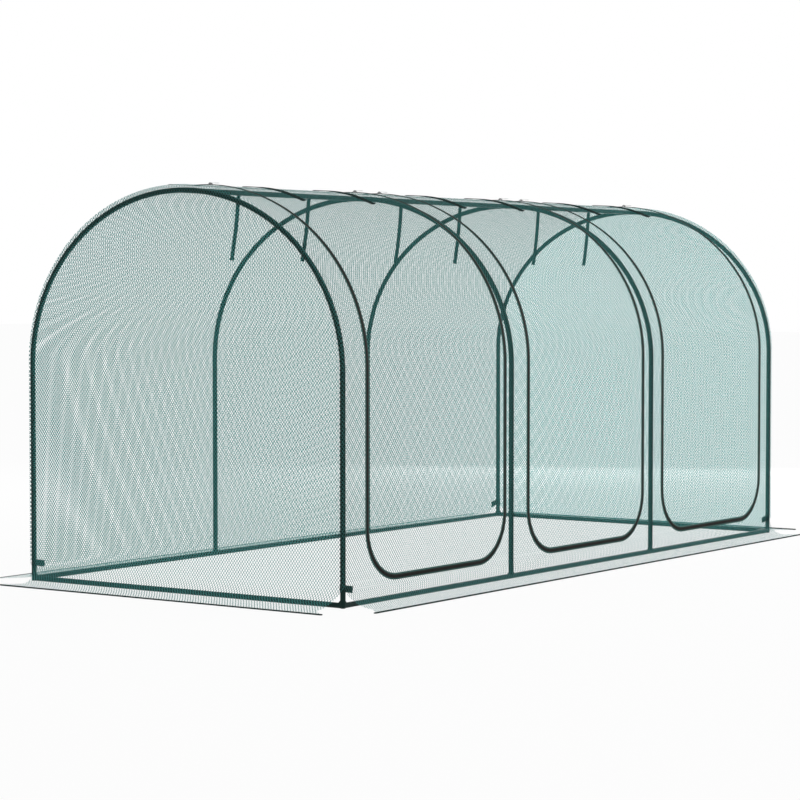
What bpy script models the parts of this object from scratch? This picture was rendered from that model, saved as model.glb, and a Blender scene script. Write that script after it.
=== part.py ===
"""A tunnel-shaped fruit cage: tube hoops, ridge and base rails under a zipped net cover.

Lengths are in metres, with +Z up. X runs along the tunnel and the doors face -Y.
The base rails and the ground skirts rest on the plane Z = 0, with the origin in the middle.
"""

import math

import bmesh
import bpy
from mathutils import Matrix

# Frame
TUBE_DIAMETER = 0.016
TUBE_WALL = 0.001
CAGE_WIDTH = 1.2
BAY_LENGTH = 0.9
BAY_COUNT = 3
LEG_HEIGHT = 0.669
ARCH_RISE = 0.532
FOOT_REACH = 0.045
FOOT_RISE = 0.05
FOOT_FILLET = 0.012
FOOT_FILLET_THICKNESS = 0.009
SPIGOT_LENGTH = 0.03
SPIGOT_WALL = 0.0012
TUBE_SIDES = 12
ARCH_STEPS = 14

# Net cover
COVER_SLACK = 0.009
NET_THICKNESS = 0.001
FLARE_HEIGHT = 0.06
FLARE_SPREAD = 0.075
FLARE_STEPS = 4
SIDE_SKIRT_WIDTH = 0.137
END_SKIRT_WIDTH = 0.152
SKIRT_NOTCH = 0.03
SKIRT_SPREAD = 0.04
NET_BAR = 0.035
NET_ROWS = 9
BAY_COLUMNS = 4
DOOR_COLUMNS = 3
END_COLUMNS = 5
END_ROWS = 5

# Doors and their zips
DOOR_GAP = 0.138
DOOR_ROW_CREEP = 0.021
DOOR_ROW_SHIFT = 0.006
DOOR_BOTTOM = 0.07
DOOR_CORNER_RADIUS = 0.15
CORNER_STEPS = 6
RIDGE_SEAM = 0.03
ZIP_WIDTH = 0.016
ZIP_THICKNESS = 0.0025
ZIP_ARCH_STEPS = 28
SLIDER_PLACE = 0.03
SLIDER_LENGTH = 0.014
SLIDER_WIDTH = 0.011
SLIDER_HEIGHT = 0.0055
SLIDER_ROOF = 0.0015
PULL_LENGTH = 0.03
PULL_THICKNESS = 0.0015
HINGE_RISE = 0.001

# Webbing
WEBBING_WIDTH = 0.012
WEBBING_THICKNESS = 0.0012
TIE_SPACING = 0.36
OUTER_TIE_START = 0.006
OUTER_TIE_END = 0.25
INNER_STRAP_LENGTH = 0.207
INNER_STRAP_DRIFT = 0.034
INNER_STRAP_STEPS = 8
FOOT_STRAP_WIDTH = 0.02
FOOT_STRAP_THICKNESS = 0.0012
FOOT_STRAP_TAIL = 0.038
FOOT_STRAP_MIDDLE = 0.056
FOOT_STRAP_STEPS = 8

# Clearance between pieces that touch or slide into each other
FIT_GAP = 0.0003

# Points nearer than this are one point
WELD_DISTANCE = 0.000003

# Follow from the sizes above
TUBE_RADIUS = TUBE_DIAMETER / 2
BORE_RADIUS = TUBE_RADIUS - TUBE_WALL
SPIGOT_RADIUS = BORE_RADIUS - FIT_GAP
CAGE_LENGTH = BAY_LENGTH * BAY_COUNT
HALF_WIDTH = CAGE_WIDTH / 2
HALF_LENGTH = CAGE_LENGTH / 2
RAIL_HEIGHT = TUBE_RADIUS
SPRING_HEIGHT = RAIL_HEIGHT + LEG_HEIGHT
RIDGE_HEIGHT = SPRING_HEIGHT + ARCH_RISE
NET_STANDOFF = TUBE_RADIUS + FIT_GAP
NET_OUTSIDE = NET_STANDOFF + NET_THICKNESS
ZIP_STANDOFF = NET_OUTSIDE + FIT_GAP
ZIP_OUTSIDE = ZIP_STANDOFF + ZIP_THICKNESS
SIDE_NET_HALF_LENGTH = HALF_LENGTH + TUBE_RADIUS
DOOR_SPACING = BAY_LENGTH - DOOR_ROW_CREEP
DOOR_WIDTH = DOOR_SPACING - DOOR_GAP
HOOP_PLACES = [BAY_LENGTH * number - HALF_LENGTH for number in range(BAY_COUNT + 1)]
DOOR_PLACES = [
    DOOR_ROW_SHIFT + DOOR_SPACING * (number - (BAY_COUNT - 1) / 2)
    for number in range(BAY_COUNT)
]


# The zip's crown: the height of its top, its radius of curvature and that circle's centre
ARCH_SHARE = ARCH_RISE / HALF_WIDTH
CROWN_LIFT = ZIP_OUTSIDE + COVER_SLACK
CROWN_REACH = HALF_WIDTH + CROWN_LIFT * ARCH_SHARE
CROWN_BEND = ARCH_RISE + COVER_SLACK + CROWN_LIFT * ARCH_SHARE * ARCH_SHARE
CROWN_CENTRE = RIDGE_HEIGHT + CROWN_LIFT - CROWN_REACH * CROWN_REACH / CROWN_BEND


def clear_scene():
    """Remove what a new file holds."""
    for old in list(bpy.data.objects):
        bpy.data.objects.remove(old)


def finish(name, colour, roughness, metallic=0.0):
    """A plain Principled material."""
    material = bpy.data.materials.new(name)
    material.use_nodes = True
    shader = material.node_tree.nodes["Principled BSDF"]
    shader.inputs["Base Color"].default_value = (*colour, 1)
    shader.inputs["Roughness"].default_value = roughness
    shader.inputs["Metallic"].default_value = metallic
    return material


def tidy(mesh):
    """Make coinciding points one and turn every face outwards."""
    shape = bmesh.new()
    shape.from_mesh(mesh)
    bmesh.ops.remove_doubles(shape, verts=shape.verts, dist=WELD_DISTANCE)
    bmesh.ops.recalc_face_normals(shape, faces=shape.faces)
    shape.to_mesh(mesh)
    shape.free()


def solid_mesh(name, points, faces):
    """A closed mesh made of points and faces."""
    mesh = bpy.data.meshes.new(name)
    mesh.from_pydata(points, [], faces)
    tidy(mesh)
    return mesh


def place(name, mesh, material, location=(0, 0, 0), turn=0.0):
    """Put a mesh into the scene as a named piece, turned about the upright axis."""
    piece = bpy.data.objects.new(name, mesh)
    if not mesh.materials:
        mesh.materials.append(material)
    mesh.shade_smooth()
    mesh.set_sharp_from_angle(angle=math.radians(40))
    piece.location = location
    piece.rotation_euler.z = turn
    bpy.context.scene.collection.objects.link(piece)
    return piece


def ring_faces(ring_count, ring_size, closed):
    """Quads between neighbouring rings of points, with end caps or closed into a loop."""
    faces = []
    for ring in range(ring_count if closed else ring_count - 1):
        for corner in range(ring_size):
            after = (corner + 1) % ring_size
            ahead = (ring + 1) % ring_count
            faces.append(
                (
                    ring * ring_size + corner,
                    ring * ring_size + after,
                    ahead * ring_size + after,
                    ahead * ring_size + corner,
                )
            )
    if not closed:
        faces.append(tuple(range(ring_size)))
        faces.append(tuple(range((ring_count - 1) * ring_size, ring_count * ring_size)))
    return faces


def loft(rings, closed=False):
    """Points and faces of the solid that joins the rings in turn."""
    points = [point for ring in rings for point in ring]
    return points, ring_faces(len(rings), len(rings[0]), closed)


def circle(centre, side, up, radius):
    """Points round a centre, in the plane of two unit directions."""
    ring = []
    for step in range(TUBE_SIDES):
        angle = 2 * math.pi * step / TUBE_SIDES
        ring.append(
            tuple(
                centre[axis]
                + radius * (math.cos(angle) * side[axis] + math.sin(angle) * up[axis])
                for axis in range(3)
            )
        )
    return ring


def rod(start, end, side, up, radius):
    """A solid round bar between two points."""
    return loft([circle(start, side, up, radius), circle(end, side, up, radius)])


def straight_tube(start, end, side, up):
    """An open-ended tube between two points: its outside, then its bore back again."""
    rings = [
        circle(start, side, up, TUBE_RADIUS),
        circle(end, side, up, TUBE_RADIUS),
        circle(end, side, up, BORE_RADIUS),
        circle(start, side, up, BORE_RADIUS),
    ]
    return loft(rings, closed=True)


def arch_normal(angle):
    """The unit outward direction (Y, Z) of the front arch, by its angle from the ridge."""
    across = -ARCH_RISE * math.sin(angle)
    upward = HALF_WIDTH * math.cos(angle)
    length = math.hypot(across, upward)
    return across / length, upward / length


def arch_point(angle, standoff=0.0):
    """A point (Y, Z) of the front half of the elliptical arch, moved out by a standoff."""
    across, upward = arch_normal(angle)
    return (
        -HALF_WIDTH * math.sin(angle) + standoff * across,
        SPRING_HEIGHT + ARCH_RISE * math.cos(angle) + standoff * upward,
    )


def arch_angles(steps):
    """Even steps from the ridge down to the arch's spring."""
    return [math.pi / 2 * step / steps for step in range(steps + 1)]


ARCH_ANGLES = arch_angles(ARCH_STEPS)
ZIP_ANGLES = arch_angles(ZIP_ARCH_STEPS)


def arch_line(standoff, angles=ARCH_ANGLES):
    """The cover's front arch from the ridge down to its spring, as straight facets.

    The cover is a little slack: it stands clear of the tubes at the ridge, where it is
    stiffened by its seams, and comes down to them at the walls.
    """
    return [arch_point(angle, standoff + COVER_SLACK * math.cos(angle)) for angle in angles]


def level_on(line, distance):
    """The height of a faceted arch line at a distance from the ridge's plane."""
    for (y0, z0), (y1, z1) in zip(line, line[1:]):
        if -y0 <= distance <= -y1:
            return z0 + (distance + y0) / (y0 - y1) * (z1 - z0)
    return line[-1][1]


def arch_level(standoff, distance, angles=ARCH_ANGLES):
    """The height of the cover's arch at a distance from the ridge's plane."""
    return level_on(arch_line(standoff, angles), distance)


def roof_line(standoff, start, angles=ARCH_ANGLES):
    """The faceted arch as (distance from the ridge's plane, height), down to its spring.

    A negative start lies past the ridge, on the other side of the roof.
    """
    line = [(start, arch_level(standoff, abs(start), angles))]
    return line + [(-y, z) for y, z in arch_line(standoff, angles) if -y > start]


def slope_line(standoff, start, end):
    """The part of the faceted arch that ends at a distance from the ridge's plane."""
    line = [(y, z) for y, z in roof_line(standoff, start) if y < end]
    return line + [(end, arch_level(standoff, end))]


def half_hoop(swaged):
    """One leg and its half of the arch, as one bent tube with its foot end open.

    The swaged half ends in a narrowed neck that enters the other half at the ridge.
    """
    foot = RAIL_HEIGHT + FOOT_RISE + FIT_GAP
    stations = []
    for number, angle in enumerate(ARCH_ANGLES):
        across, upward = arch_normal(angle)
        y, z = arch_point(angle)
        if number == 0:
            y = -FIT_GAP / 2
        stations.append(((0, y, z), (0, across, upward)))
    stations.append(((0, -HALF_WIDTH, foot), (0, -1, 0)))
    side = (1, 0, 0)
    outside = [circle(centre, side, up, TUBE_RADIUS) for centre, up in stations]
    bore = [circle(centre, side, up, BORE_RADIUS) for centre, up in reversed(stations)]
    if swaged:
        root, root_up = stations[0]
        across, upward = arch_normal(math.asin(SPIGOT_LENGTH / HALF_WIDTH))
        tube_line = [arch_point(angle) for angle in ARCH_ANGLES]
        tip = (0, SPIGOT_LENGTH, level_on(tube_line, SPIGOT_LENGTH))
        tip_up = (0, -across, upward)
        neck_bore = SPIGOT_RADIUS - SPIGOT_WALL
        bore[-1] = circle(root, side, root_up, neck_bore)
        bore.append(circle(tip, side, tip_up, neck_bore))
        bore.append(circle(tip, side, tip_up, SPIGOT_RADIUS))
        bore.append(circle(root, side, root_up, SPIGOT_RADIUS))
    return loft(outside + bore, closed=True)


def united(name, solids):
    """One mesh made of overlapping solids."""
    helpers = []
    for number, (points, faces) in enumerate(solids):
        mesh = solid_mesh(f"{name}_{number}", points, faces)
        helper = bpy.data.objects.new(f"{name}_{number}", mesh)
        bpy.context.scene.collection.objects.link(helper)
        helpers.append(helper)
    for helper in helpers[1:]:
        union = helpers[0].modifiers.new(helper.name, "BOOLEAN")
        union.operation = "UNION"
        union.solver = "MANIFOLD"
        union.object = helper
    graph = bpy.context.evaluated_depsgraph_get()
    joined = bpy.data.meshes.new_from_object(helpers[0].evaluated_get(graph))
    joined.name = name
    tidy(joined)
    for helper in helpers:
        bpy.data.objects.remove(helper)
    return joined


def fillet(first, second, across):
    """A triangular web between two tubes that meet at the origin."""
    reach = TUBE_RADIUS + FOOT_FILLET
    half = FOOT_FILLET_THICKNESS / 2
    rings = []
    for offset in (-half, half):
        corners = ((0, 0), (reach, 0), (0, reach))
        rings.append(
            [
                tuple(a * first[axis] + b * second[axis] + offset * across[axis] for axis in range(3))
                for a, b in corners
            ]
        )
    return loft(rings)


def socket(direction, side, up, start, reach):
    """A foot's arm: a bar along a direction, and the thinner spigot that enters the tube."""
    arm = rod(
        tuple(start * value for value in direction),
        tuple(reach * value for value in direction),
        side,
        up,
        TUBE_RADIUS,
    )
    spigot = rod(
        tuple((reach - TUBE_RADIUS) * value for value in direction),
        tuple((reach + SPIGOT_LENGTH) * value for value in direction),
        side,
        up,
        SPIGOT_RADIUS,
    )
    return [arm, spigot]


def corner_foot():
    """A three-way foot: arms along +X, +Y and +Z with a web in each corner."""
    x, y, z = (1, 0, 0), (0, 1, 0), (0, 0, 1)
    solids = socket(z, x, y, -TUBE_RADIUS, FOOT_RISE)
    solids += socket(x, y, z, 0, FOOT_REACH)
    solids += socket(y, x, z, 0, FOOT_REACH)
    solids += [fillet(x, z, y), fillet(y, z, x), fillet(x, y, z)]
    return united("corner_foot", solids)


def tee_foot():
    """A tee foot: arms along +X, -X and +Z with a web in each corner."""
    x, y, z = (1, 0, 0), (0, 1, 0), (0, 0, 1)
    back = (-1, 0, 0)
    solids = socket(x, y, z, -FOOT_REACH, FOOT_REACH)
    solids += socket(back, y, z, 0, FOOT_REACH)[1:]
    solids += socket(z, x, y, 0, FOOT_RISE)
    solids += [fillet(x, z, y), fillet(back, z, y)]
    return united("tee_foot", solids)


def build_frame(paint):
    """Hoops, feet, base rails and ridge."""
    x, y, z = (1, 0, 0), (0, 1, 0), (0, 0, 1)
    front_half = solid_mesh("hoop_front", *half_hoop(swaged=True))
    back_half = solid_mesh("hoop_back", *half_hoop(swaged=False))
    for number, along in enumerate(HOOP_PLACES, 1):
        place(f"hoop_{number}_front", front_half, paint, (along, 0, 0))
        place(f"hoop_{number}_back", back_half, paint, (along, 0, 0), math.pi)
    corner = corner_foot()
    tee = tee_foot()
    corners = (
        ("foot_left_front", -1, -1, 0.0),
        ("foot_right_front", 1, -1, math.pi / 2),
        ("foot_right_back", 1, 1, math.pi),
        ("foot_left_back", -1, 1, -math.pi / 2),
    )
    for name, end, wall, turn in corners:
        place(name, corner, paint, (end * HALF_LENGTH, wall * HALF_WIDTH, RAIL_HEIGHT), turn)
    arm = FOOT_REACH + FIT_GAP
    for label, wall in (("front", -1), ("back", 1)):
        across = wall * HALF_WIDTH
        for number, along in enumerate(HOOP_PLACES[1:-1], 2):
            place(f"foot_hoop_{number}_{label}", tee, paint, (along, across, RAIL_HEIGHT))
        for number, (start, end) in enumerate(zip(HOOP_PLACES, HOOP_PLACES[1:]), 1):
            low = (start + arm, across, RAIL_HEIGHT)
            high = (end - arm, across, RAIL_HEIGHT)
            name = f"base_rail_{label}_{number}"
            place(name, solid_mesh(name, *straight_tube(low, high, y, z)), paint)
    for label, end in (("left", -1), ("right", 1)):
        low = (end * HALF_LENGTH, arm - HALF_WIDTH, RAIL_HEIGHT)
        high = (end * HALF_LENGTH, HALF_WIDTH - arm, RAIL_HEIGHT)
        name = f"base_rail_{label}"
        place(name, solid_mesh(name, *straight_tube(low, high, x, z)), paint)
    beside = TUBE_RADIUS + FIT_GAP
    for number, (start, end) in enumerate(zip(HOOP_PLACES, HOOP_PLACES[1:]), 1):
        low = (start + beside, 0, RIDGE_HEIGHT)
        high = (end - beside, 0, RIDGE_HEIGHT)
        name = f"ridge_tube_{number}"
        place(name, solid_mesh(name, *straight_tube(low, high, y, z)), paint)


def flare_line(width):
    """The net's foot, as pairs of (outward, height) for its inner and outer faces.

    It leaves the wall in a hollow quarter curve and runs flat to the skirt's edge.
    """
    line = []
    for step in range(1, FLARE_STEPS + 1):
        angle = math.pi / 2 * step / FLARE_STEPS
        out = FLARE_SPREAD * (1 - math.cos(angle))
        height = FLARE_HEIGHT * (1 - math.sin(angle))
        slope_out = FLARE_HEIGHT * math.cos(angle)
        slope_up = FLARE_SPREAD * math.sin(angle)
        length = math.hypot(slope_out, slope_up)
        thick_out = NET_THICKNESS * slope_out / length
        thick_up = NET_THICKNESS * slope_up / length
        line.append(((out, height), (out + thick_out, height + thick_up)))
    line.append(((width, 0), (width, NET_THICKNESS)))
    return line


def flare_reach(out, height, corner, wall, width):
    """How far the foot of a net runs along its wall: notched at the corner, then spreading."""
    if height > 0:
        share = 1 - height / FLARE_HEIGHT
        return wall + (corner - SKIRT_NOTCH - wall) * share
    share = (out - FLARE_SPREAD) / (width - FLARE_SPREAD)
    return corner - SKIRT_NOTCH + (SKIRT_NOTCH + SKIRT_SPREAD) * share


def side_net_rings(wall):
    """Rings of the net over one side: roof, wall, flare and skirt. The wall is -1 or 1.

    The seam lies behind the ridge, so the front net passes over it and the back net stops short.
    """
    seam = wall * RIDGE_SEAM + FIT_GAP / 2
    inner = roof_line(NET_STANDOFF, seam) + [(HALF_WIDTH + NET_STANDOFF, FLARE_HEIGHT)]
    outer = roof_line(NET_OUTSIDE, seam) + [(HALF_WIDTH + NET_OUTSIDE, FLARE_HEIGHT)]
    reach = SIDE_NET_HALF_LENGTH
    rings = []
    for (in_y, in_z), (out_y, out_z) in zip(inner, outer):
        rings.append(flat_ring(-reach, reach, wall * in_y, in_z, wall * out_y, out_z))
    for (out, height), (skin_out, skin_height) in flare_line(SIDE_SKIRT_WIDTH):
        reach = flare_reach(out, height, HALF_LENGTH, SIDE_NET_HALF_LENGTH, SIDE_SKIRT_WIDTH)
        in_y = HALF_WIDTH + NET_STANDOFF + out
        out_y = HALF_WIDTH + NET_STANDOFF + skin_out
        rings.append(flat_ring(-reach, reach, wall * in_y, height, wall * out_y, skin_height))
    return rings


def flat_ring(low, high, in_across, in_height, out_across, out_height):
    """The four corners of a sheet's cross-section that spans low to high along X."""
    return [
        (low, in_across, in_height),
        (high, in_across, in_height),
        (high, out_across, out_height),
        (low, out_across, out_height),
    ]


def end_net_rings(end):
    """Rings of the flat net over one end, with its flare and skirt. The end is -1 or 1."""
    inside = HALF_LENGTH + NET_STANDOFF
    rings = []
    outline = [(-y, z) for y, z in arch_line(NET_OUTSIDE)]
    outline.append((HALF_WIDTH + NET_OUTSIDE, FLARE_HEIGHT))
    for half, height in outline:
        rings.append(cross_ring(end * inside, height, end * (inside + NET_THICKNESS), height, half))
    for (out, height), (skin_out, skin_height) in flare_line(END_SKIRT_WIDTH):
        wall = HALF_WIDTH + NET_OUTSIDE
        half = flare_reach(out, height, HALF_WIDTH, wall, END_SKIRT_WIDTH)
        low = end * (inside + out)
        high = end * (inside + skin_out)
        rings.append(cross_ring(low, height, high, skin_height, half))
    return rings


def cross_ring(in_along, in_height, out_along, out_height, half):
    """The four corners of an end sheet's cross-section that spans both sides of the middle."""
    return [
        (in_along, -half, in_height),
        (in_along, half, in_height),
        (out_along, half, out_height),
        (out_along, -half, out_height),
    ]


def door_corner(inset):
    """A door's rounded bottom corner, as (half width, height) from its top to its bottom."""
    radius = DOOR_CORNER_RADIUS - inset
    middle = DOOR_WIDTH / 2 - DOOR_CORNER_RADIUS
    pivot = DOOR_BOTTOM + DOOR_CORNER_RADIUS
    corner = []
    for step in range(CORNER_STEPS + 1):
        angle = math.pi / 2 * step / CORNER_STEPS
        corner.append((middle + radius * math.cos(angle), pivot - radius * math.sin(angle)))
    return corner


def door_net_rings(centre):
    """Rings of one door's net, from the seam behind the ridge down to its rounded bottom."""
    half = DOOR_WIDTH / 2 - FIT_GAP
    inner = roof_line(NET_STANDOFF, FIT_GAP - RIDGE_SEAM)
    outer = roof_line(NET_OUTSIDE, FIT_GAP - RIDGE_SEAM)
    rings = []
    for (in_y, in_z), (out_y, out_z) in zip(inner, outer):
        rings.append(flat_ring(centre - half, centre + half, -in_y, in_z, -out_y, out_z))
    near = -HALF_WIDTH - NET_STANDOFF
    far = -HALF_WIDTH - NET_OUTSIDE
    for half, height in door_corner(FIT_GAP):
        rings.append(flat_ring(centre - half, centre + half, near, height, far, height))
    return rings


def point_along(line, distance):
    """The point at a walked distance along a line of (outward, height) points."""
    for (out, up), (next_out, next_up) in zip(line, line[1:]):
        step = math.hypot(next_out - out, next_up - up)
        if distance < step:
            share = distance / step
            return out + (next_out - out) * share, up + (next_up - up) * share
        distance -= step
    return line[-1]


def window_rows(line):
    """Where the rows of openings start and end along a net's line, as pairs of points."""
    steps = [math.hypot(b[0] - a[0], b[1] - a[1]) for a, b in zip(line, line[1:])]
    pitch = sum(steps) / NET_ROWS
    rows = []
    for number in range(NET_ROWS):
        start = point_along(line, number * pitch + NET_BAR / 2)
        end = point_along(line, (number + 1) * pitch - NET_BAR / 2)
        rows.append((start, end))
    return rows


def window_columns(low, high, count):
    """Where the columns of openings start and end between two places."""
    pitch = (high - low) / count
    edges = [low + number * pitch for number in range(count)]
    return [(edge + NET_BAR / 2, edge + pitch - NET_BAR / 2) for edge in edges]


def side_window(low, high, row, wall):
    """A box that cuts one opening through a side net, square to the net there."""
    (out, up), (low_out, low_up) = row
    length = math.hypot(low_out - out, low_up - up)
    deep_out = NET_BAR * (up - low_up) / length
    deep_up = NET_BAR * (low_out - out) / length
    corners = (
        (out - deep_out, up - deep_up),
        (low_out - deep_out, low_up - deep_up),
        (low_out + deep_out, low_up + deep_up),
        (out + deep_out, up + deep_up),
    )
    return loft([[(x, wall * y, z) for y, z in corners] for x in (low, high)])


def back_windows():
    """The openings of the back net: the same number in every bay."""
    line = roof_line(NET_STANDOFF, RIDGE_SEAM)
    line.append((HALF_WIDTH + NET_STANDOFF, FLARE_HEIGHT))
    columns = window_columns(-HALF_LENGTH, HALF_LENGTH, BAY_COLUMNS * BAY_COUNT)
    return [side_window(low, high, row, 1) for row in window_rows(line) for low, high in columns]


def front_windows():
    """The openings of the front net: one column in each strip beside the doors."""
    line = roof_line(NET_STANDOFF, -RIDGE_SEAM)
    line.append((HALF_WIDTH + NET_STANDOFF, FLARE_HEIGHT))
    edges = [-SIDE_NET_HALF_LENGTH]
    for centre in DOOR_PLACES:
        edges += [centre - DOOR_WIDTH / 2, centre + DOOR_WIDTH / 2]
    edges.append(SIDE_NET_HALF_LENGTH)
    windows = []
    for low, high in zip(edges[::2], edges[1::2]):
        bar = (high - low) / 4
        windows += [side_window(low + bar, high - bar, row, -1) for row in window_rows(line)]
    return windows


def door_reach(height):
    """Half a door's width at a height, where its bottom corners are round."""
    drop = max(0, DOOR_BOTTOM + DOOR_CORNER_RADIUS - height)
    round_off = DOOR_CORNER_RADIUS - math.sqrt(DOOR_CORNER_RADIUS**2 - drop**2)
    return DOOR_WIDTH / 2 - round_off


def door_windows(centre):
    """The openings of one door, kept inside its round bottom corners."""
    line = roof_line(NET_STANDOFF, -RIDGE_SEAM)
    line.append((HALF_WIDTH + NET_STANDOFF, DOOR_BOTTOM))
    windows = []
    for row in window_rows(line):
        reach = door_reach(row[1][1]) - NET_BAR / 2
        for low, high in window_columns(-DOOR_WIDTH / 2, DOOR_WIDTH / 2, DOOR_COLUMNS):
            near = centre + max(low, -reach)
            far = centre + min(high, reach)
            windows.append(side_window(near, far, row, -1))
    return windows


def end_windows(end):
    """The openings of an end net, with their tops cut to run along the arch."""
    near = end * (HALF_LENGTH + NET_STANDOFF - NET_BAR)
    far = end * (HALF_LENGTH + NET_OUTSIDE + NET_BAR)
    windows = []
    for bottom, top in window_columns(FLARE_HEIGHT, RIDGE_HEIGHT, END_ROWS):
        for low, high in window_columns(-HALF_WIDTH, HALF_WIDTH, END_COLUMNS):
            low_top = min(top, arch_level(-NET_BAR, abs(low)))
            high_top = min(top, arch_level(-NET_BAR, abs(high)))
            if min(low_top, high_top) < bottom + NET_BAR:
                continue
            outline = ((low, bottom), (high, bottom), (high, high_top), (low, low_top))
            windows.append(loft([[(x, y, z) for y, z in outline] for x in (near, far)]))
    return windows


def cut_openings(net, windows):
    """Cut a plain grid of openings through a net."""
    points = []
    faces = []
    for box_points, box_faces in windows:
        faces += [tuple(corner + len(points) for corner in face) for face in box_faces]
        points += box_points
    cutter = bpy.data.objects.new(f"{net.name}_openings", solid_mesh("openings", points, faces))
    cutter.hide_render = True
    cutter.display_type = "WIRE"
    bpy.context.scene.collection.objects.link(cutter)
    openings = net.modifiers.new("openings", "BOOLEAN")
    openings.operation = "DIFFERENCE"
    openings.object = cutter


def door_cutter(name, centre):
    """The shape of a door opening as seen from the front, cut through the front net."""
    corner = door_corner(0)
    top = RIDGE_HEIGHT + CAGE_WIDTH
    outline = [(centre - DOOR_WIDTH / 2, top)]
    outline += [(centre - half, height) for half, height in corner]
    outline += [(centre + half, height) for half, height in reversed(corner)]
    outline.append((centre + DOOR_WIDTH / 2, top))
    rings = [[(x, y, z) for x, z in outline] for y in (-CAGE_WIDTH, 2 * RIDGE_SEAM)]
    cutter = bpy.data.objects.new(name, solid_mesh(name, *loft(rings)))
    cutter.hide_render = True
    cutter.display_type = "WIRE"
    bpy.context.scene.collection.objects.link(cutter)
    return cutter


def zip_rings(centre):
    """Rings of the zip: over the arch, down, along the bottom and up again, as one U band.

    Each ring is the band's cross-section, square to its path on the net's outer face.
    """
    roof_in = roof_line(ZIP_STANDOFF, FIT_GAP - RIDGE_SEAM, ZIP_ANGLES)
    roof_out = roof_line(ZIP_OUTSIDE, FIT_GAP - RIDGE_SEAM, ZIP_ANGLES)
    side = DOOR_WIDTH / 2
    half = ZIP_WIDTH / 2
    left = []
    for (in_y, in_z), (out_y, out_z) in zip(roof_in, roof_out):
        left.append(
            [
                (-side - half, -in_y, in_z),
                (-side + half, -in_y, in_z),
                (-side + half, -out_y, out_z),
                (-side - half, -out_y, out_z),
            ]
        )
    near = -HALF_WIDTH - ZIP_STANDOFF
    far = -HALF_WIDTH - ZIP_OUTSIDE
    pivot_x = -side + DOOR_CORNER_RADIUS
    pivot_z = DOOR_BOTTOM + DOOR_CORNER_RADIUS
    for step in range(CORNER_STEPS + 1):
        angle = math.pi / 2 * step / CORNER_STEPS
        ring = []
        for radius, y in (
            (DOOR_CORNER_RADIUS + half, near),
            (DOOR_CORNER_RADIUS - half, near),
            (DOOR_CORNER_RADIUS - half, far),
            (DOOR_CORNER_RADIUS + half, far),
        ):
            ring.append((pivot_x - radius * math.cos(angle), y, pivot_z - radius * math.sin(angle)))
        left.append(ring)
    right = [[(-x, y, z) for x, y, z in ring] for ring in reversed(left)]
    return [[(centre + x, y, z) for x, y, z in ring] for ring in left + right]


def slider_outline():
    """A zip slider and its flat pull, seen along X, as (distance to the front, height)."""
    start = -SLIDER_LENGTH / 2
    end = SLIDER_LENGTH / 2
    tip = end + PULL_LENGTH
    pull_top = SLIDER_HEIGHT - SLIDER_ROOF
    pull_bottom = pull_top - PULL_THICKNESS
    nose = SLIDER_LENGTH / 4
    return [
        (start, 0),
        (end - nose, 0),
        (end, pull_bottom),
        (tip, pull_bottom),
        (tip, pull_top),
        (end, pull_top),
        (end - nose, SLIDER_HEIGHT),
        (start + nose, SLIDER_HEIGHT),
        (start, SLIDER_HEIGHT - nose),
    ]


def slider_rings(centre):
    """A slider just in front of the ridge: flat-bottomed, a fit gap over the zip.

    It slides down the front of the roof by turning about the crown's centre of curvature,
    and it is drawn on the crown and turned to its place in the same way.
    """
    base = RIDGE_HEIGHT + CROWN_LIFT + FIT_GAP - CROWN_CENTRE
    turn = math.asin(SLIDER_PLACE / base)
    rings = []
    for x in (centre - SLIDER_WIDTH / 2, centre + SLIDER_WIDTH / 2):
        ring = []
        for out, up in slider_outline():
            across = out * math.cos(turn) + (base + up) * math.sin(turn)
            height = (base + up) * math.cos(turn) - out * math.sin(turn)
            ring.append((x, -across, CROWN_CENTRE + height))
        rings.append(ring)
    return rings


def outer_tie_rings(centre):
    """A tie laid over the roof's front slope, on the net's outer face."""
    inner = slope_line(ZIP_STANDOFF, OUTER_TIE_START, OUTER_TIE_END)
    outer = slope_line(ZIP_STANDOFF + WEBBING_THICKNESS, OUTER_TIE_START, OUTER_TIE_END)
    low = centre - WEBBING_WIDTH / 2
    high = centre + WEBBING_WIDTH / 2
    rings = []
    for (in_y, in_z), (out_y, out_z) in zip(inner, outer):
        rings.append(flat_ring(low, high, -in_y, in_z, -out_y, out_z))
    return rings


def inner_strap_rings(centre):
    """A strap that hangs inside, behind the ridge tube, drifting a little along X."""
    near = TUBE_RADIUS + FIT_GAP
    far = near + WEBBING_THICKNESS
    rings = []
    for step in range(INNER_STRAP_STEPS + 1):
        share = step / INNER_STRAP_STEPS
        x = centre - INNER_STRAP_DRIFT * share * share
        z = RIDGE_HEIGHT - INNER_STRAP_LENGTH * share
        low = x - WEBBING_WIDTH / 2
        high = x + WEBBING_WIDTH / 2
        rings.append([(low, near, z), (high, near, z), (high, far, z), (low, far, z)])
    return rings


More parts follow.
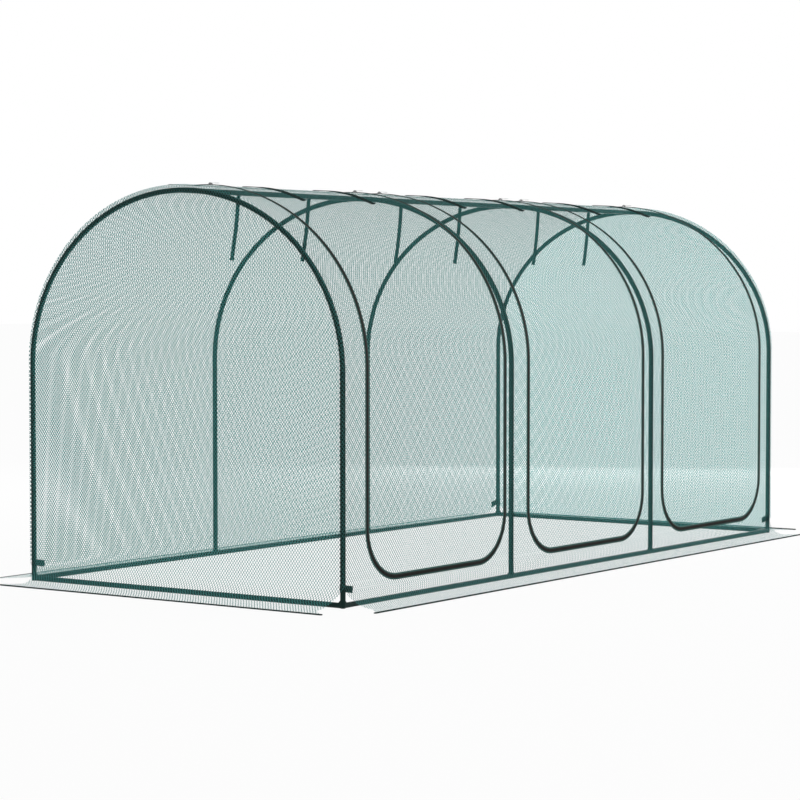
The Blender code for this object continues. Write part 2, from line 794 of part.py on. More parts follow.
def foot_strap_outline():
    """A hook-and-loop strap round the inner side of an end leg, with a tab along +X.

    It stops short of both net walls, which touch the leg towards -X and -Y.
    """
    inside = TUBE_RADIUS + FIT_GAP
    outside = inside + FOOT_STRAP_THICKNESS
    clear = math.acos((TUBE_RADIUS - FIT_GAP) / outside)
    first = clear - math.pi / 2
    last = math.pi - clear
    tab = math.asin(FOOT_STRAP_THICKNESS / 2 / outside)
    outline = []
    for step in range(FOOT_STRAP_STEPS // 2 + 1):
        angle = first + (-tab - first) * step / (FOOT_STRAP_STEPS // 2)
        outline.append((outside * math.cos(angle), outside * math.sin(angle)))
    outline.append((outside + FOOT_STRAP_TAIL, -FOOT_STRAP_THICKNESS / 2))
    outline.append((outside + FOOT_STRAP_TAIL, FOOT_STRAP_THICKNESS / 2))
    for step in range(FOOT_STRAP_STEPS + 1):
        angle = tab + (last - tab) * step / FOOT_STRAP_STEPS
        outline.append((outside * math.cos(angle), outside * math.sin(angle)))
    for step in range(FOOT_STRAP_STEPS + 1):
        angle = last + (first - last) * step / FOOT_STRAP_STEPS
        outline.append((inside * math.cos(angle), inside * math.sin(angle)))
    return outline


def foot_strap_rings(end, wall):
    """The strap of one corner leg, mirrored so that its tab points along the side wall."""
    low = FOOT_STRAP_MIDDLE - FOOT_STRAP_WIDTH / 2
    rings = []
    for z in (low, low + FOOT_STRAP_WIDTH):
        rings.append(
            [
                (end * (HALF_LENGTH - x), wall * (HALF_WIDTH - y), z)
                for x, y in foot_strap_outline()
            ]
        )
    return rings


def build_cover(netting):
    """The fixed nets: back and roof, front with its door openings, and both ends."""
    cut_openings(place_loft("net_back", side_net_rings(1), netting), back_windows())
    front = place("net_front", solid_mesh("net_front", *loft(side_net_rings(-1))), netting)
    for number, centre in enumerate(DOOR_PLACES, 1):
        opening = front.modifiers.new(f"door_{number}", "BOOLEAN")
        opening.operation = "DIFFERENCE"
        opening.object = door_cutter(f"door_cutter_{number}", centre)
    cut_openings(front, front_windows())
    for label, end in (("left", -1), ("right", 1)):
        net = place_loft(f"net_end_{label}", end_net_rings(end), netting)
        cut_openings(net, end_windows(end))


def place_loft(name, rings, material, holder=None):
    """Put a lofted piece into the scene, carried by a holder where it moves."""
    piece = place(name, solid_mesh(name, *loft(rings)), material)
    if holder:
        carry(piece, holder)
    return piece


def axis_holder(name, location):
    """An empty on a joint's axis, which carries the pieces that move about it."""
    holder = bpy.data.objects.new(name, None)
    holder.location = location
    bpy.context.scene.collection.objects.link(holder)
    return holder


def carry(child, holder):
    """Make an object follow a holder, without moving it now."""
    child.parent = holder
    child.matrix_parent_inverse = Matrix.Translation(holder.location).inverted()


def build_doors(netting, tape, plating, webbing):
    """Each door's net, its zip, two sliders and the webbing that ties it up.

    A door lifts about its seam. A slider runs on the zip, about the crown's centre of curvature.
    """
    seam_height = arch_level(ZIP_OUTSIDE, RIDGE_SEAM, ZIP_ANGLES) + HINGE_RISE
    for number, centre in enumerate(DOOR_PLACES, 1):
        door = axis_holder(f"door_{number}_axis", (centre, RIDGE_SEAM, seam_height))
        net = place_loft(f"door_{number}_net", door_net_rings(centre), netting, door)
        cut_openings(net, door_windows(centre))
        place_loft(f"door_{number}_zip", zip_rings(centre), tape, door)
        for label, side in (("left", -1), ("right", 1)):
            zip_line = centre + side * DOOR_WIDTH / 2
            tie_line = centre + side * TIE_SPACING / 2
            track = axis_holder(f"zip_{number}_{label}_axis", (zip_line, 0, CROWN_CENTRE))
            carry(track, door)
            place_loft(f"zip_slider_{number}_{label}", slider_rings(zip_line), plating, track)
            place_loft(f"outer_tie_{number}_{label}", outer_tie_rings(tie_line), webbing, door)
            place_loft(f"inner_strap_{number}_{label}", inner_strap_rings(tie_line), webbing)


def build_foot_straps(webbing):
    """The straps that hold the net to the four corner legs."""
    for end_label, end in (("left", -1), ("right", 1)):
        for wall_label, wall in (("front", -1), ("back", 1)):
            place_loft(f"foot_strap_{end_label}_{wall_label}", foot_strap_rings(end, wall), webbing)


clear_scene()
build_frame(finish("powder_coated_tube", (0.023, 0.074, 0.061), 0.45, 0.2))
green_net = finish("knitted_net", (0.42, 0.56, 0.52), 0.8)
black_webbing = finish("woven_webbing", (0.02, 0.045, 0.04), 0.85)
build_cover(green_net)
build_doors(
    green_net,
    finish("zip_tape", (0.035, 0.032, 0.028), 0.6),
    finish("zip_metal", (0.03, 0.03, 0.03), 0.4, 0.8),
    black_webbing,
)
build_foot_straps(black_webbing)
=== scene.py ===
# %% [markdown]
# # A tunnel-shaped fruit cage
#
# Thin tube hoops, a ridge and base rails carry a fine net. One side has three doors that
# open with U-shaped zips, and the net runs out on the ground as a flat skirt.
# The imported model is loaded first. It is the skeleton that every piece here sits on.

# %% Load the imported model
import math

import bmesh
import bpy
import numpy as np
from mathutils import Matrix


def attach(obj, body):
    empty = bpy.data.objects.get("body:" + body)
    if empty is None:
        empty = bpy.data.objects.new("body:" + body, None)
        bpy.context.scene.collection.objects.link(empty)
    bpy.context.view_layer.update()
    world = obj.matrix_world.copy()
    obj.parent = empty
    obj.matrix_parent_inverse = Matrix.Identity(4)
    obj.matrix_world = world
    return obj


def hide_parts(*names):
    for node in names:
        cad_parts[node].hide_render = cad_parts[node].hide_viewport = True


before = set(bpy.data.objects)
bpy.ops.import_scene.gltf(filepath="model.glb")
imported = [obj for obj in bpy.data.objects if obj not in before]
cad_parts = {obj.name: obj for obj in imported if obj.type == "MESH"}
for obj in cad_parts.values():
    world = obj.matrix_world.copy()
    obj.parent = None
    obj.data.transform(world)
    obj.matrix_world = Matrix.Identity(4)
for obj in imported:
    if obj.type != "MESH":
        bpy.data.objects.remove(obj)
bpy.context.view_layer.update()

# %% [markdown]
# ## The sizes that the pieces share
#
# These are the real lengths of the cage in metres, the same as in its solid model. X runs
# along the tunnel, the doors face -Y, and the ground is Z = 0.

# %% Name the sizes
TUBE_RADIUS = 0.008
HALF_WIDTH = 0.6
HALF_LENGTH = 1.35
RAIL_HEIGHT = 0.008
SPRING_HEIGHT = 0.677
ARCH_RISE = 0.532
RIDGE_HEIGHT = SPRING_HEIGHT + ARCH_RISE
FOOT_TOP = 0.0583
HOOP_PLACES = (-1.35, -0.45, 0.45, 1.35)
WALLS = (("front", -1), ("back", 1))
ENDS = (("left", -1), ("right", 1))

SMALL_GAP = 0.0003
NET_LIFT = 0.0088
COVER_SLACK = 0.009
NET_HALF_LENGTH = 1.358
SEAM = 0.03
SKIRT_LEVEL = 0.0005
FLARE_HEIGHT = 0.06
FLARE_SPREAD = 0.075
SIDE_SKIRT = 0.137
END_SKIRT = 0.152
SKIRT_NOTCH = 0.03
SKIRT_SPREAD = 0.04

DOOR_PLACES = (-0.873, 0.006, 0.885)
DOOR_HALF = 0.3705
DOOR_BOTTOM = 0.07
DOOR_CORNER = 0.15
ZIP_BASE = 0.0096
ZIP_THICKNESS = 0.0025
print("three doors, each", 2 * DOOR_HALF, "m wide, on a cage", 2 * HALF_LENGTH, "m long")

# %% [markdown]
# ## The camera
#
# The photograph's lens was long and nearly level: the far hoop is still three quarters as
# tall as the near one. The camera's place came from fitting the cage's straight lines and
# the tops of its hoops to the picture, so the render has the photograph's perspective.

# %% Place the camera
camera_data = bpy.data.cameras.new("camera")
camera_data.lens = 111.9696
camera_data.sensor_width = 36
camera_data.clip_end = 100
camera = bpy.data.objects.new("camera", camera_data)
camera.location = (-7.07845, -4.78789, 0.91738)
camera.rotation_euler = (math.radians(90 - 2.5769), 0, math.radians(-55.151))
bpy.context.scene.collection.objects.link(camera)
bpy.context.scene.camera = camera
print("camera", round(math.dist(camera.location, (0, 0, 0.6)), 2), "m from the cage's middle")

# %% [markdown]
# ## Shader maths in Python
#
# A procedural finish is arithmetic on sockets. `Wire` wraps one output socket, so that
# `1 - mask * 0.5` adds the Math nodes by itself, and `Finish` makes a material whose other
# nodes all come from one method.


# %% Wrap a socket
class Wire:
    """One output socket. Arithmetic on it adds Math nodes and gives a new Wire."""

    def __init__(self, finish, socket):
        self.finish = finish
        self.socket = socket

    def maths(self, operation, first, second=0.0):
        return self.finish.node("Math", {"operation": operation}, {0: first, 1: second})

    def __add__(self, other):
        return self.maths("ADD", self, other)

    def __radd__(self, other):
        return self.maths("ADD", other, self)

    def __sub__(self, other):
        return self.maths("SUBTRACT", self, other)

    def __rsub__(self, other):
        return self.maths("SUBTRACT", other, self)

    def __mul__(self, other):
        return self.maths("MULTIPLY", self, other)

    def __rmul__(self, other):
        return self.maths("MULTIPLY", other, self)

    def __truediv__(self, other):
        return self.maths("DIVIDE", self, other)

    def __abs__(self):
        return self.maths("ABSOLUTE", self)

    def wave(self):
        return self.maths("SINE", self)

    def above(self, level, soft):
        """0 below a level, 1 above it, with a soft step between."""
        found = (self - level) / soft + 0.5
        return found.maths("MINIMUM", found.maths("MAXIMUM", found, 0.0), 1.0)


print("sums on sockets are made by", Wire.__name__)


# %% Put a material together
class Finish:
    """A material, or the world, that is put together from nodes."""

    def __init__(self, name, owner=None):
        self.owner = owner or bpy.data.materials.new(name)
        self.owner.use_nodes = True
        self.tree = self.owner.node_tree
        self.tree.nodes.clear()

    def node(self, kind, settings=None, inputs=None, output=0):
        """Add a node: its settings first, then what its sockets hold or are linked to."""
        made = self.tree.nodes.new("ShaderNode" + kind)
        for key, value in (settings or {}).items():
            setattr(made, key, value)
        for key, value in (inputs or {}).items():
            if isinstance(value, Wire):
                self.tree.links.new(value.socket, made.inputs[key])
            else:
                made.inputs[key].default_value = value
        return Wire(self, made.outputs[output]) if made.outputs else None

    def noise(self, places, scale, detail=2.0, rough=0.5):
        """Soft random spots, with about this many to the metre."""
        sockets = {"Vector": places, "Scale": scale, "Detail": detail, "Roughness": rough}
        return self.node("TexNoise", {}, sockets)

    def mix(self, share, first, second):
        """A colour between two colours."""
        sockets = {"Factor": share, 6: first, 7: second}
        return self.node("Mix", {"data_type": "RGBA"}, sockets, output=2)

    def place(self):
        """Where a point is on the piece, in metres."""
        return self.node("TexCoord", {}, {}, output="Object")

    def strip(self, name):
        """The two coordinates of a piece's own map, as wires: across and along."""
        both = self.node("UVMap", {"uv_map": name}, {})
        split = self.node("SeparateXYZ", {}, {"Vector": both})
        return split, Wire(self, split.socket.node.outputs["Y"])

    def bump(self, height, distance):
        """A normal that follows a height in metres times its share."""
        return self.node("Bump", {}, {"Height": height, "Distance": distance})

    def surface(self, **sockets):
        """Finish the material with one Principled shader. Underscores stand for spaces."""
        named = {key.replace("_", " "): value for key, value in sockets.items()}
        shader = self.node("BsdfPrincipled", {}, named)
        self.node("OutputMaterial", {}, {"Surface": shader})
        return self.owner


print("materials are made by", Finish.__name__)

# %% [markdown]
# ## The finishes
#
# The real cage has few materials, all dark green or black: a thin powder coat on steel
# tube, a knitted plastic net, woven tape, and a nylon zip with enamelled sliders. Each
# gets its own small-scale texture, so that it still reads as itself when seen close.


# %% Powder coat on the tubes
def powder_coat():
    """Deep green with a faint drift in colour, and the fine orange peel of baked powder."""
    coat = Finish("powder_coat")
    places = coat.place()
    drift = coat.noise(places, 5.0, 3.0)
    peel = coat.noise(places, 900.0, 1.0)
    rub = coat.noise(places, 60.0, 4.0, 0.65).above(0.66, 0.10)
    deep = coat.mix(drift, (0.004, 0.018, 0.016, 1), (0.008, 0.028, 0.025, 1))
    return coat.surface(
        Base_Color=coat.mix(rub * 0.25, deep, (0.030, 0.060, 0.055, 1)),
        Roughness=0.46 + drift * 0.10 + peel * 0.06,
        Normal=coat.bump(peel, 0.0002),
        Specular_IOR_Level=0.12,
    )


COAT = powder_coat()
print("finish:", COAT.name)


# %% Knitted yarn of the net
def net_yarn():
    """A thin plastic yarn: dull dark green to look at, teal where light comes through it.

    The two are mixed shaders. The face reflects little, and the light from behind the
    strand is spread by the plastic, so a strand reads dark in front of a dark tube.
    """
    yarn = Finish("net_yarn")
    places = yarn.place()
    drift = yarn.noise(places, 2.2, 3.0)
    fibre = yarn.noise(places, 420.0, 2.0)
    base = yarn.mix(drift, (0.024, 0.062, 0.057, 1), (0.036, 0.088, 0.080, 1))
    face = yarn.node(
        "BsdfPrincipled",
        {},
        {
            "Base Color": yarn.mix(fibre * 0.3, base, (0.085, 0.145, 0.135, 1)),
            "Roughness": 0.58 + fibre * 0.2,
            "Specular IOR Level": 0.2,
        },
    )
    glow = yarn.node("BsdfTranslucent", {}, {"Color": (0.11, 0.46, 0.44, 1)})
    both = yarn.node("MixShader", {}, {0: 0.5, 1: face, 2: glow})
    yarn.node("OutputMaterial", {}, {"Surface": both})
    return yarn.owner


YARN = net_yarn()
print("finish:", YARN.name)


# %% Woven tape: ties, straps and the skirts' bound edges
def woven_tape(name, dark, light, ribs):
    """Tape with fine cross ribs along it and a stitch line near each edge.

    The piece's map gives the place across the tape from 0 to 1 and the length along it in
    metres, so the ribs keep their pitch whatever the tape's length.
    """
    tape = Finish(name)
    across, along = tape.strip("Tape")
    rib = (along * (2 * math.pi * ribs)).wave() * 0.5 + 0.5
    warp = (across * (2 * math.pi * 9)).wave() * 0.5 + 0.5
    weave = rib * 0.6 + warp * 0.4
    edge = abs(across - 0.5).above(0.40, 0.06)
    grime = tape.noise(tape.place(), 14.0, 3.0)
    colour = tape.mix(weave * 0.6 + grime * 0.3, (*dark, 1), (*light, 1))
    return tape.surface(
        Base_Color=tape.mix(edge * 0.35, colour, (*light, 1)),
        Roughness=0.72 + weave * 0.15,
        Normal=tape.bump(weave - edge * 0.4, 0.0004),
        Specular_IOR_Level=0.1,
    )


WEBBING = woven_tape("webbing", (0.006, 0.016, 0.015), (0.016, 0.040, 0.036), 520)
BINDING = woven_tape("edge_binding", (0.008, 0.018, 0.016), (0.022, 0.040, 0.037), 600)
print("finishes:", WEBBING.name, "and", BINDING.name)


# %% The zip's band and its teeth
def zip_band():
    """Dark tape in the middle and green woven edges, which the map's X tells apart."""
    band = Finish("zip_band")
    across, along = band.strip("Tape")
    edge = abs(across - 0.5).above(0.29, 0.06)
    weave = (along * (2 * math.pi * 700)).wave() * 0.5 + 0.5
    grime = band.noise(band.place(), 20.0, 3.0)
    dark = band.mix(grime, (0.009, 0.011, 0.009, 1), (0.018, 0.021, 0.018, 1))
    return band.surface(
        Base_Color=band.mix(edge, dark, (0.046, 0.112, 0.100, 1)),
        Roughness=0.60 + weave * 0.15,
        Normal=band.bump(weave, 0.0002),
        Specular_IOR_Level=0.15,
    )


def zip_teeth():
    """The nylon coil: dark brown, a little glossy, with a drift from wear."""
    coil = Finish("zip_teeth")
    drift = coil.noise(coil.place(), 90.0, 2.0)
    return coil.surface(
        Base_Color=coil.mix(drift, (0.011, 0.011, 0.009, 1), (0.024, 0.023, 0.020, 1)),
        Roughness=0.42 + drift * 0.14,
        Specular_IOR_Level=0.15,
    )


BAND = zip_band()
TEETH = zip_teeth()
print("finishes:", BAND.name, "and", TEETH.name)


# %% The sliders' enamel and bare zinc
def slider_enamel():
    """Black enamel over zinc, rubbed to grey where the noise runs high."""
    enamel = Finish("slider_enamel")
    places = enamel.place()
    rub = enamel.noise(places, 260.0, 4.0, 0.6).above(0.60, 0.12)
    return enamel.surface(
        Base_Color=enamel.mix(rub, (0.020, 0.021, 0.021, 1), (0.180, 0.185, 0.185, 1)),
        Metallic=0.5 + rub * 0.4,
        Roughness=0.30 + rub * 0.2,
    )


def slider_zinc():
    """The pull's bare zinc, dull and lightly scratched along its length."""
    zinc = Finish("slider_zinc")
    scratch = zinc.noise(zinc.place(), 700.0, 3.0, 0.7)
    return zinc.surface(
        Base_Color=zinc.mix(scratch, (0.420, 0.430, 0.430, 1), (0.620, 0.630, 0.620, 1)),
        Metallic=0.85 + scratch * 0.1,
        Roughness=0.32 + scratch * 0.2,
    )


ENAMEL = slider_enamel()
ZINC = slider_zinc()
print("finishes in all:", ", ".join(material.name for material in bpy.data.materials))

# %% [markdown]
# ## Meshes from arrays
#
# Every new piece is an array of points. A grid of points becomes quads, and its map
# follows the grid. A tape or a tube is a profile carried along a path.


# %% Make a piece from points and faces
def mesh_piece(name, points, faces, maps, material, smooth=True):
    """A piece from points (n, 3), a list of faces and maps of one pair per corner."""
    mesh = bpy.data.meshes.new(name)
    mesh.from_pydata(np.asarray(points).tolist(), [], [list(face) for face in faces])
    for key, pairs in maps.items():
        layer = mesh.uv_layers.new(name=key)
        layer.data.foreach_set("uv", np.asarray(pairs, np.float32).ravel())
    for each in material if isinstance(material, (list, tuple)) else [material]:
        mesh.materials.append(each)
    if smooth:
        mesh.shade_smooth()
        mesh.set_sharp_from_angle(angle=math.radians(35))
    piece = bpy.data.objects.new(name, mesh)
    bpy.context.scene.collection.objects.link(piece)
    return piece


def face_outwards(piece):
    """Turn a closed piece's faces outwards."""
    shape = bmesh.new()
    shape.from_mesh(piece.data)
    bmesh.ops.recalc_face_normals(shape, faces=shape.faces)
    shape.to_mesh(piece.data)
    shape.free()


def stand_for(piece, body, slot, *nodes):
    """The piece rides on a body and stands for CAD nodes, which it hides. The slot is not
    used.
    """
    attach(piece, body)
    if nodes:
        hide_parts(*nodes)


# %% Join a grid of points with quads
def cell_corners(grid):
    """The four corners of each cell of a grid (rows, columns, ...), in order round it."""
    corners = (grid[:-1, :-1], grid[1:, :-1], grid[1:, 1:], grid[:-1, 1:])
    return np.stack(corners, axis=2)


def grid_quads(rows, columns, loop=False):
    """The quads between neighbouring rows and columns of a grid of points."""
    index = np.arange(rows * columns).reshape(rows, columns)
    if loop:
        index = np.concatenate([index, index[:, :1]], axis=1)
    return cell_corners(index).reshape(-1, 4)


def grid_map(across, along):
    """The map of the same quads, from one number per column edge and one per row."""
    return cell_corners(np.stack(np.meshgrid(across, along), axis=-1)).reshape(-1, 2)


def capped_faces(rings, count):
    """The quads between rings of `count` points, and one face over each end."""
    last = (rings - 1) * count
    caps = [range(count), range(last + count - 1, last - 1, -1)]
    return [*grid_quads(rings, count, loop=True).tolist(), *caps]


def closed_faces(rings, count):
    """The quads between rings whose last one joins the first, as in a pipe with a bore."""
    return (grid_quads(rings + 1, count, loop=True) % (rings * count)).tolist()


print("a strip of 5 rings of 4 points has", len(capped_faces(5, 4)), "faces")


# %% Carry a section along a path
def beside(*parts):
    """Numbers and rows of numbers put side by side, as the columns of one array."""
    return np.stack(np.broadcast_arrays(*parts), axis=-1)


def unit(vectors):
    """Each vector divided by its length."""
    return vectors / np.linalg.norm(vectors, axis=-1, keepdims=True)


def lengths_along(path):
    """The distance walked along a path, at each of its points."""
    steps = np.linalg.norm(np.diff(path, axis=0), axis=1)
    return np.concatenate([[0.0], np.cumsum(steps)])


def ring_section(radius, sides):
    """The points of a circle, in order."""
    turn = np.linspace(0, 2 * np.pi, sides, endpoint=False)
    return beside(np.sin(turn), np.cos(turn)) * radius


def sweep_points(path, outward, section):
    """A section carried along a path.

    The section's first number goes sideways, square to the path and to `outward`, and the
    second goes along `outward`: point = path + side * first + outward * second.
    """
    ahead = unit(np.gradient(path, axis=0))
    side = unit(np.cross(ahead, outward))
    up = unit(np.cross(side, ahead))
    sideways = side[:, None] * section[None, :, :1]
    return path[:, None] + sideways + up[:, None] * section[None, :, 1:]


print("a tube's ring is", round(float(np.ptp(ring_section(TUBE_RADIUS, 20))), 4), "m wide")


# %% Make a closed strip of tape
def folded(flat, folds, fill, margin):
    """Cut a map that is `folds` high into lengths that lie side by side in a square.

    A quad's number is the whole part of its middle's height. Then u is
    (u * fill + number) / folds, and v is (v - number) * (1 - 2 * margin) + margin.
    """
    flat = flat.reshape(-1, 4, 2)
    number = np.floor(flat[..., 1].mean(axis=1) - 1e-9).clip(0, folds - 1)[:, None]
    across = (flat[..., 0] * fill + number) / folds
    along = (flat[..., 1] - number) * (1 - 2 * margin) + margin
    return beside(across, along).reshape(-1, 2)


def tape_piece(name, path, outward, section, material, body, slot, *nodes):
    """A closed strip: a looped section along a path, with its two ends capped.

    "Tape" gives the place across, from 0 to 1, and the length along in metres. The other
    map cuts the strip into lengths that lie side by side, so that it fills a square.
    """
    points = sweep_points(path, outward, section)
    rows, columns = points.shape[:2]
    around = lengths_along(np.concatenate([section, section[:1]]))
    across = (section[:, 0] - section[:, 0].min()) / np.ptp(section[:, 0])
    along = lengths_along(path)
    folds = max(1, round(math.sqrt(along[-1] / around[-1])))
    flat = grid_map(around / around[-1], along / along[-1] * folds)
    cap = (section - section.min(0)) / np.ptp(section, axis=0) * [0.4, 0.01]
    tape = grid_map(np.append(across, across[0]), along)
    ends = [beside(across, 0.0), beside(across[::-1], along[-1])]
    maps = {
        "OFBake": np.concatenate([folded(flat, folds, 0.98, 0.02), cap, cap[::-1] + [0.5, 0]]),
        "Tape": np.concatenate([tape, *ends]),
    }
    points, faces = points.reshape(-1, 3), capped_faces(rows, columns)
    piece = mesh_piece(f"{name}_mesh", points, faces, maps, material)
    face_outwards(piece)
    stand_for(piece, body, slot, *nodes)


def strap_section(width, thickness, low=0.0):
    """A flat strap's section with rounded edges, its underside at `low`."""
    half, soft = width / 2, thickness * 0.3
    top = low + thickness
    right = [(half - soft, low), (half, low + soft), (half, top - soft), (half - soft, top)]
    left = [(-x, up) for x, up in reversed(right)]
    return np.array(right + left)


print("a strap's section has", len(strap_section(0.012, 0.001)), "points")

# %% [markdown]
# ## The arch as a formula
#
# The hoops are half ellipses on straight legs. Everything that lies on the roof uses one
# formula: a point of the ellipse, moved outwards along the curve's own normal. The cover is
# cut a little wide, so it stands 9 mm clear of the tubes at the ridge, where its seams
# stiffen it, and comes down to them at the walls.


# %% Write the arch
def arch(angle, lift):
    """(distance from the ridge's plane, height) at an angle from the ridge.

    The ellipse's point is (width * sin, spring + rise * cos), and its normal is
    (rise * sin, width * cos) divided by its length. The lift goes along the normal.
    """
    across, up = np.sin(angle), np.cos(angle)
    normal = unit(beside(ARCH_RISE * across, HALF_WIDTH * up))
    return beside(HALF_WIDTH * across, SPRING_HEIGHT + ARCH_RISE * up) + lift * normal, normal


def cover(angle, lift):
    """The same on the slack cover: its lift grows by slack * cos towards the ridge."""
    curve, normal = arch(angle, lift)
    return curve + COVER_SLACK * np.cos(angle)[..., None] * normal, normal


print("the cover's top is", round(float(cover(np.zeros(1), NET_LIFT)[0][0, 1]), 4), "m high")


# %% Write the cloth's section from the roof to the skirt's edge
ROOF_POINTS = 34


def net_section(first, first_normal, wall, skirt):
    """A section of the cloth: its first part, then the hollow flare and the flat skirt.

    The flare is a quarter ellipse: out = wall + spread * (1 - cos), and its height falls
    as 1 - sin. It gives the points (out, up), their normals and the length to each.
    """
    turn = np.linspace(0, np.pi / 2, 9)
    out = wall + NET_LIFT
    up = SKIRT_LEVEL + (FLARE_HEIGHT - SKIRT_LEVEL) * (1 - np.sin(turn))
    flare = beside(out + FLARE_SPREAD * (1 - np.cos(turn)), up)
    normal = unit(beside(FLARE_HEIGHT * np.cos(turn), FLARE_SPREAD * np.sin(turn)))
    edge = [[out - SKIRT_LEVEL + skirt, SKIRT_LEVEL]]
    points = np.concatenate([first, flare, edge])
    return points, np.concatenate([first_normal, normal, [[0, 1]]]), lengths_along(points)


def side_section(start):
    """The net's section over one side, which starts this far from the ridge's plane."""
    angles = np.linspace(math.asin(start / HALF_WIDTH), np.pi / 2, ROOF_POINTS)
    return net_section(*cover(angles, NET_LIFT), HALF_WIDTH, SIDE_SKIRT)


front_section = side_section(-SEAM)
back_section = side_section(SEAM)
rim = cover(np.linspace(0, np.pi / 2, 60), NET_LIFT)[0]
end_section = net_section(
    [[HALF_LENGTH + NET_LIFT, rim[0, 1]]], [[1, 0]], HALF_LENGTH, END_SKIRT
)
print("net from the seam to the skirt's edge:", round(front_section[2][-1], 3), "m")

# %% [markdown]
# ## The net
#
# The real net is knitted from fine yarn with holes of about 10 by 13 mm, set like bricks.
# An image of holes would turn to mush in the distance. Two families of slanting flat
# strands and a small knot at each crossing give true holes for few faces, because a strand
# stays straight for as long as the cloth does. Each strand is worked out on the flat cloth,
# clipped to the panel's outline, and only then laid on the roof, wall, flare and skirt.

# %% Lay out the strands on flat cloth
HOLE_WIDTH = 0.010
HOLE_HEIGHT = 0.0128
STRAND_WIDTH = 0.00135
STRAND_LIFT = 0.0003
SHORTEST = 0.02
LEAN = HOLE_WIDTH / HOLE_HEIGHT


def clipped(low, high, start, end):
    """Narrow each span (low, high) to where a straight line from start to end is positive."""
    slope = end - start
    zero = -start / np.where(slope == 0, 1e-12, slope)
    low = np.where(slope > 0, np.maximum(low, zero), low)
    high = np.where(slope < 0, np.minimum(high, zero), high)
    return low, np.where((slope == 0) & (start < 0), -1, high)


def strand_quads(heights, left, right, way):
    """The quads (n, 4, 2) of one family of strands inside one band of the cloth.

    heights is the length down the cloth at each level, left and right the band's edges
    there. Strand number k runs along u = k * hole width + way * lean * v. Between two
    levels, less of it than the share SHORTEST is left out.
    """
    first = np.floor((left.min() - LEAN * heights.max()) / HOLE_WIDTH)
    last = np.ceil((right.max() + LEAN * heights.max()) / HOLE_WIDTH)
    number = np.arange(first, last + 1)[:, None] * HOLE_WIDTH
    top = number + way * LEAN * heights[None, :-1]
    bottom = number + way * LEAN * heights[None, 1:]
    low, high = np.zeros_like(top), np.ones_like(top)
    low, high = clipped(low, high, top - left[:-1], bottom - left[1:])
    low, high = clipped(low, high, right[:-1] - top, right[1:] - bottom)
    kept = high - low > SHORTEST
    step = np.diff(heights)[None, :] * np.ones_like(top)
    above = heights[None, :-1] * np.ones_like(top)
    half = STRAND_WIDTH / 2 * math.sqrt(1 + LEAN * LEAN)
    corners = []
    for share, side in ((low, -1), (high, -1), (high, 1), (low, 1)):
        u = top + (bottom - top) * share + side * half
        corners.append(beside(u[kept], (above + step * share)[kept]))
    return np.stack(corners, 1)


print("a strand leans", round(math.degrees(math.atan(LEAN)), 1), "degrees from the upright")


# %% Add the knots
KNOT_WIDTH = 0.0019
KNOT_HEIGHT = 0.0042


def knot_quads(heights, left, right):
    """The quads of the knots: one upright oblong on each crossing of the strands."""
    row = np.arange(np.ceil(2 * heights[0] / HOLE_HEIGHT), 2 * heights[-1] / HOLE_HEIGHT)
    first, last = np.floor(2 * left.min() / HOLE_WIDTH), 2 * right.max() / HOLE_WIDTH
    row, column = np.meshgrid(row, np.arange(first, last + 1), indexing="ij")
    even = (row + column) % 2 == 0
    u, v = column[even] * HOLE_WIDTH / 2, row[even] * HOLE_HEIGHT / 2
    inside = u > np.interp(v, heights, left) + KNOT_WIDTH
    inside &= u < np.interp(v, heights, right) - KNOT_WIDTH
    inside &= (v > heights[0] + KNOT_HEIGHT / 2) & (v < heights[-1] - KNOT_HEIGHT / 2)
    u, v = u[inside], v[inside]
    corners = []
    for side, end in ((-1, -1), (-1, 1), (1, 1), (1, -1)):
        corners.append(beside(u + side * KNOT_WIDTH / 2, v + end * KNOT_HEIGHT / 2))
    return np.stack(corners, 1)


def cloth(bands):
    """All quads of a panel, with how far each lies off the cloth's middle.

    One family lies a little outside, the other inside, and the knots between them.
    """
    quads, lifts = [], []
    for band in bands:
        for found, lift in (
            (strand_quads(*band, 1), STRAND_LIFT),
            (strand_quads(*band, -1), -STRAND_LIFT),
            (knot_quads(*band), 0.0),
        ):
            quads.append(found)
            lifts.append(np.full(len(found), lift))
    return np.concatenate(quads), np.concatenate(lifts)


patch = cloth([(np.array([0.0, 0.1]), np.full(2, -0.05), np.full(2, 0.05))])[0]
print("a patch of 10 by 10 cm has", len(patch), "strands and knots")


# %% Lay a panel of cloth
def levels(lengths, low, high, extra=()):
    """The levels down the cloth between two lengths: the section's own and some more."""
    inside = lengths[(lengths > low) & (lengths < high)]
    return np.unique(np.concatenate([[low], inside, np.asarray(extra), [high]]).round(7))


def quad_areas(points):
    """The area of each quad (n, 4, 3), as half the cross product of its diagonals."""
    cross = np.cross(points[:, 2] - points[:, 0], points[:, 3] - points[:, 1])
    return np.linalg.norm(cross, axis=1) / 2


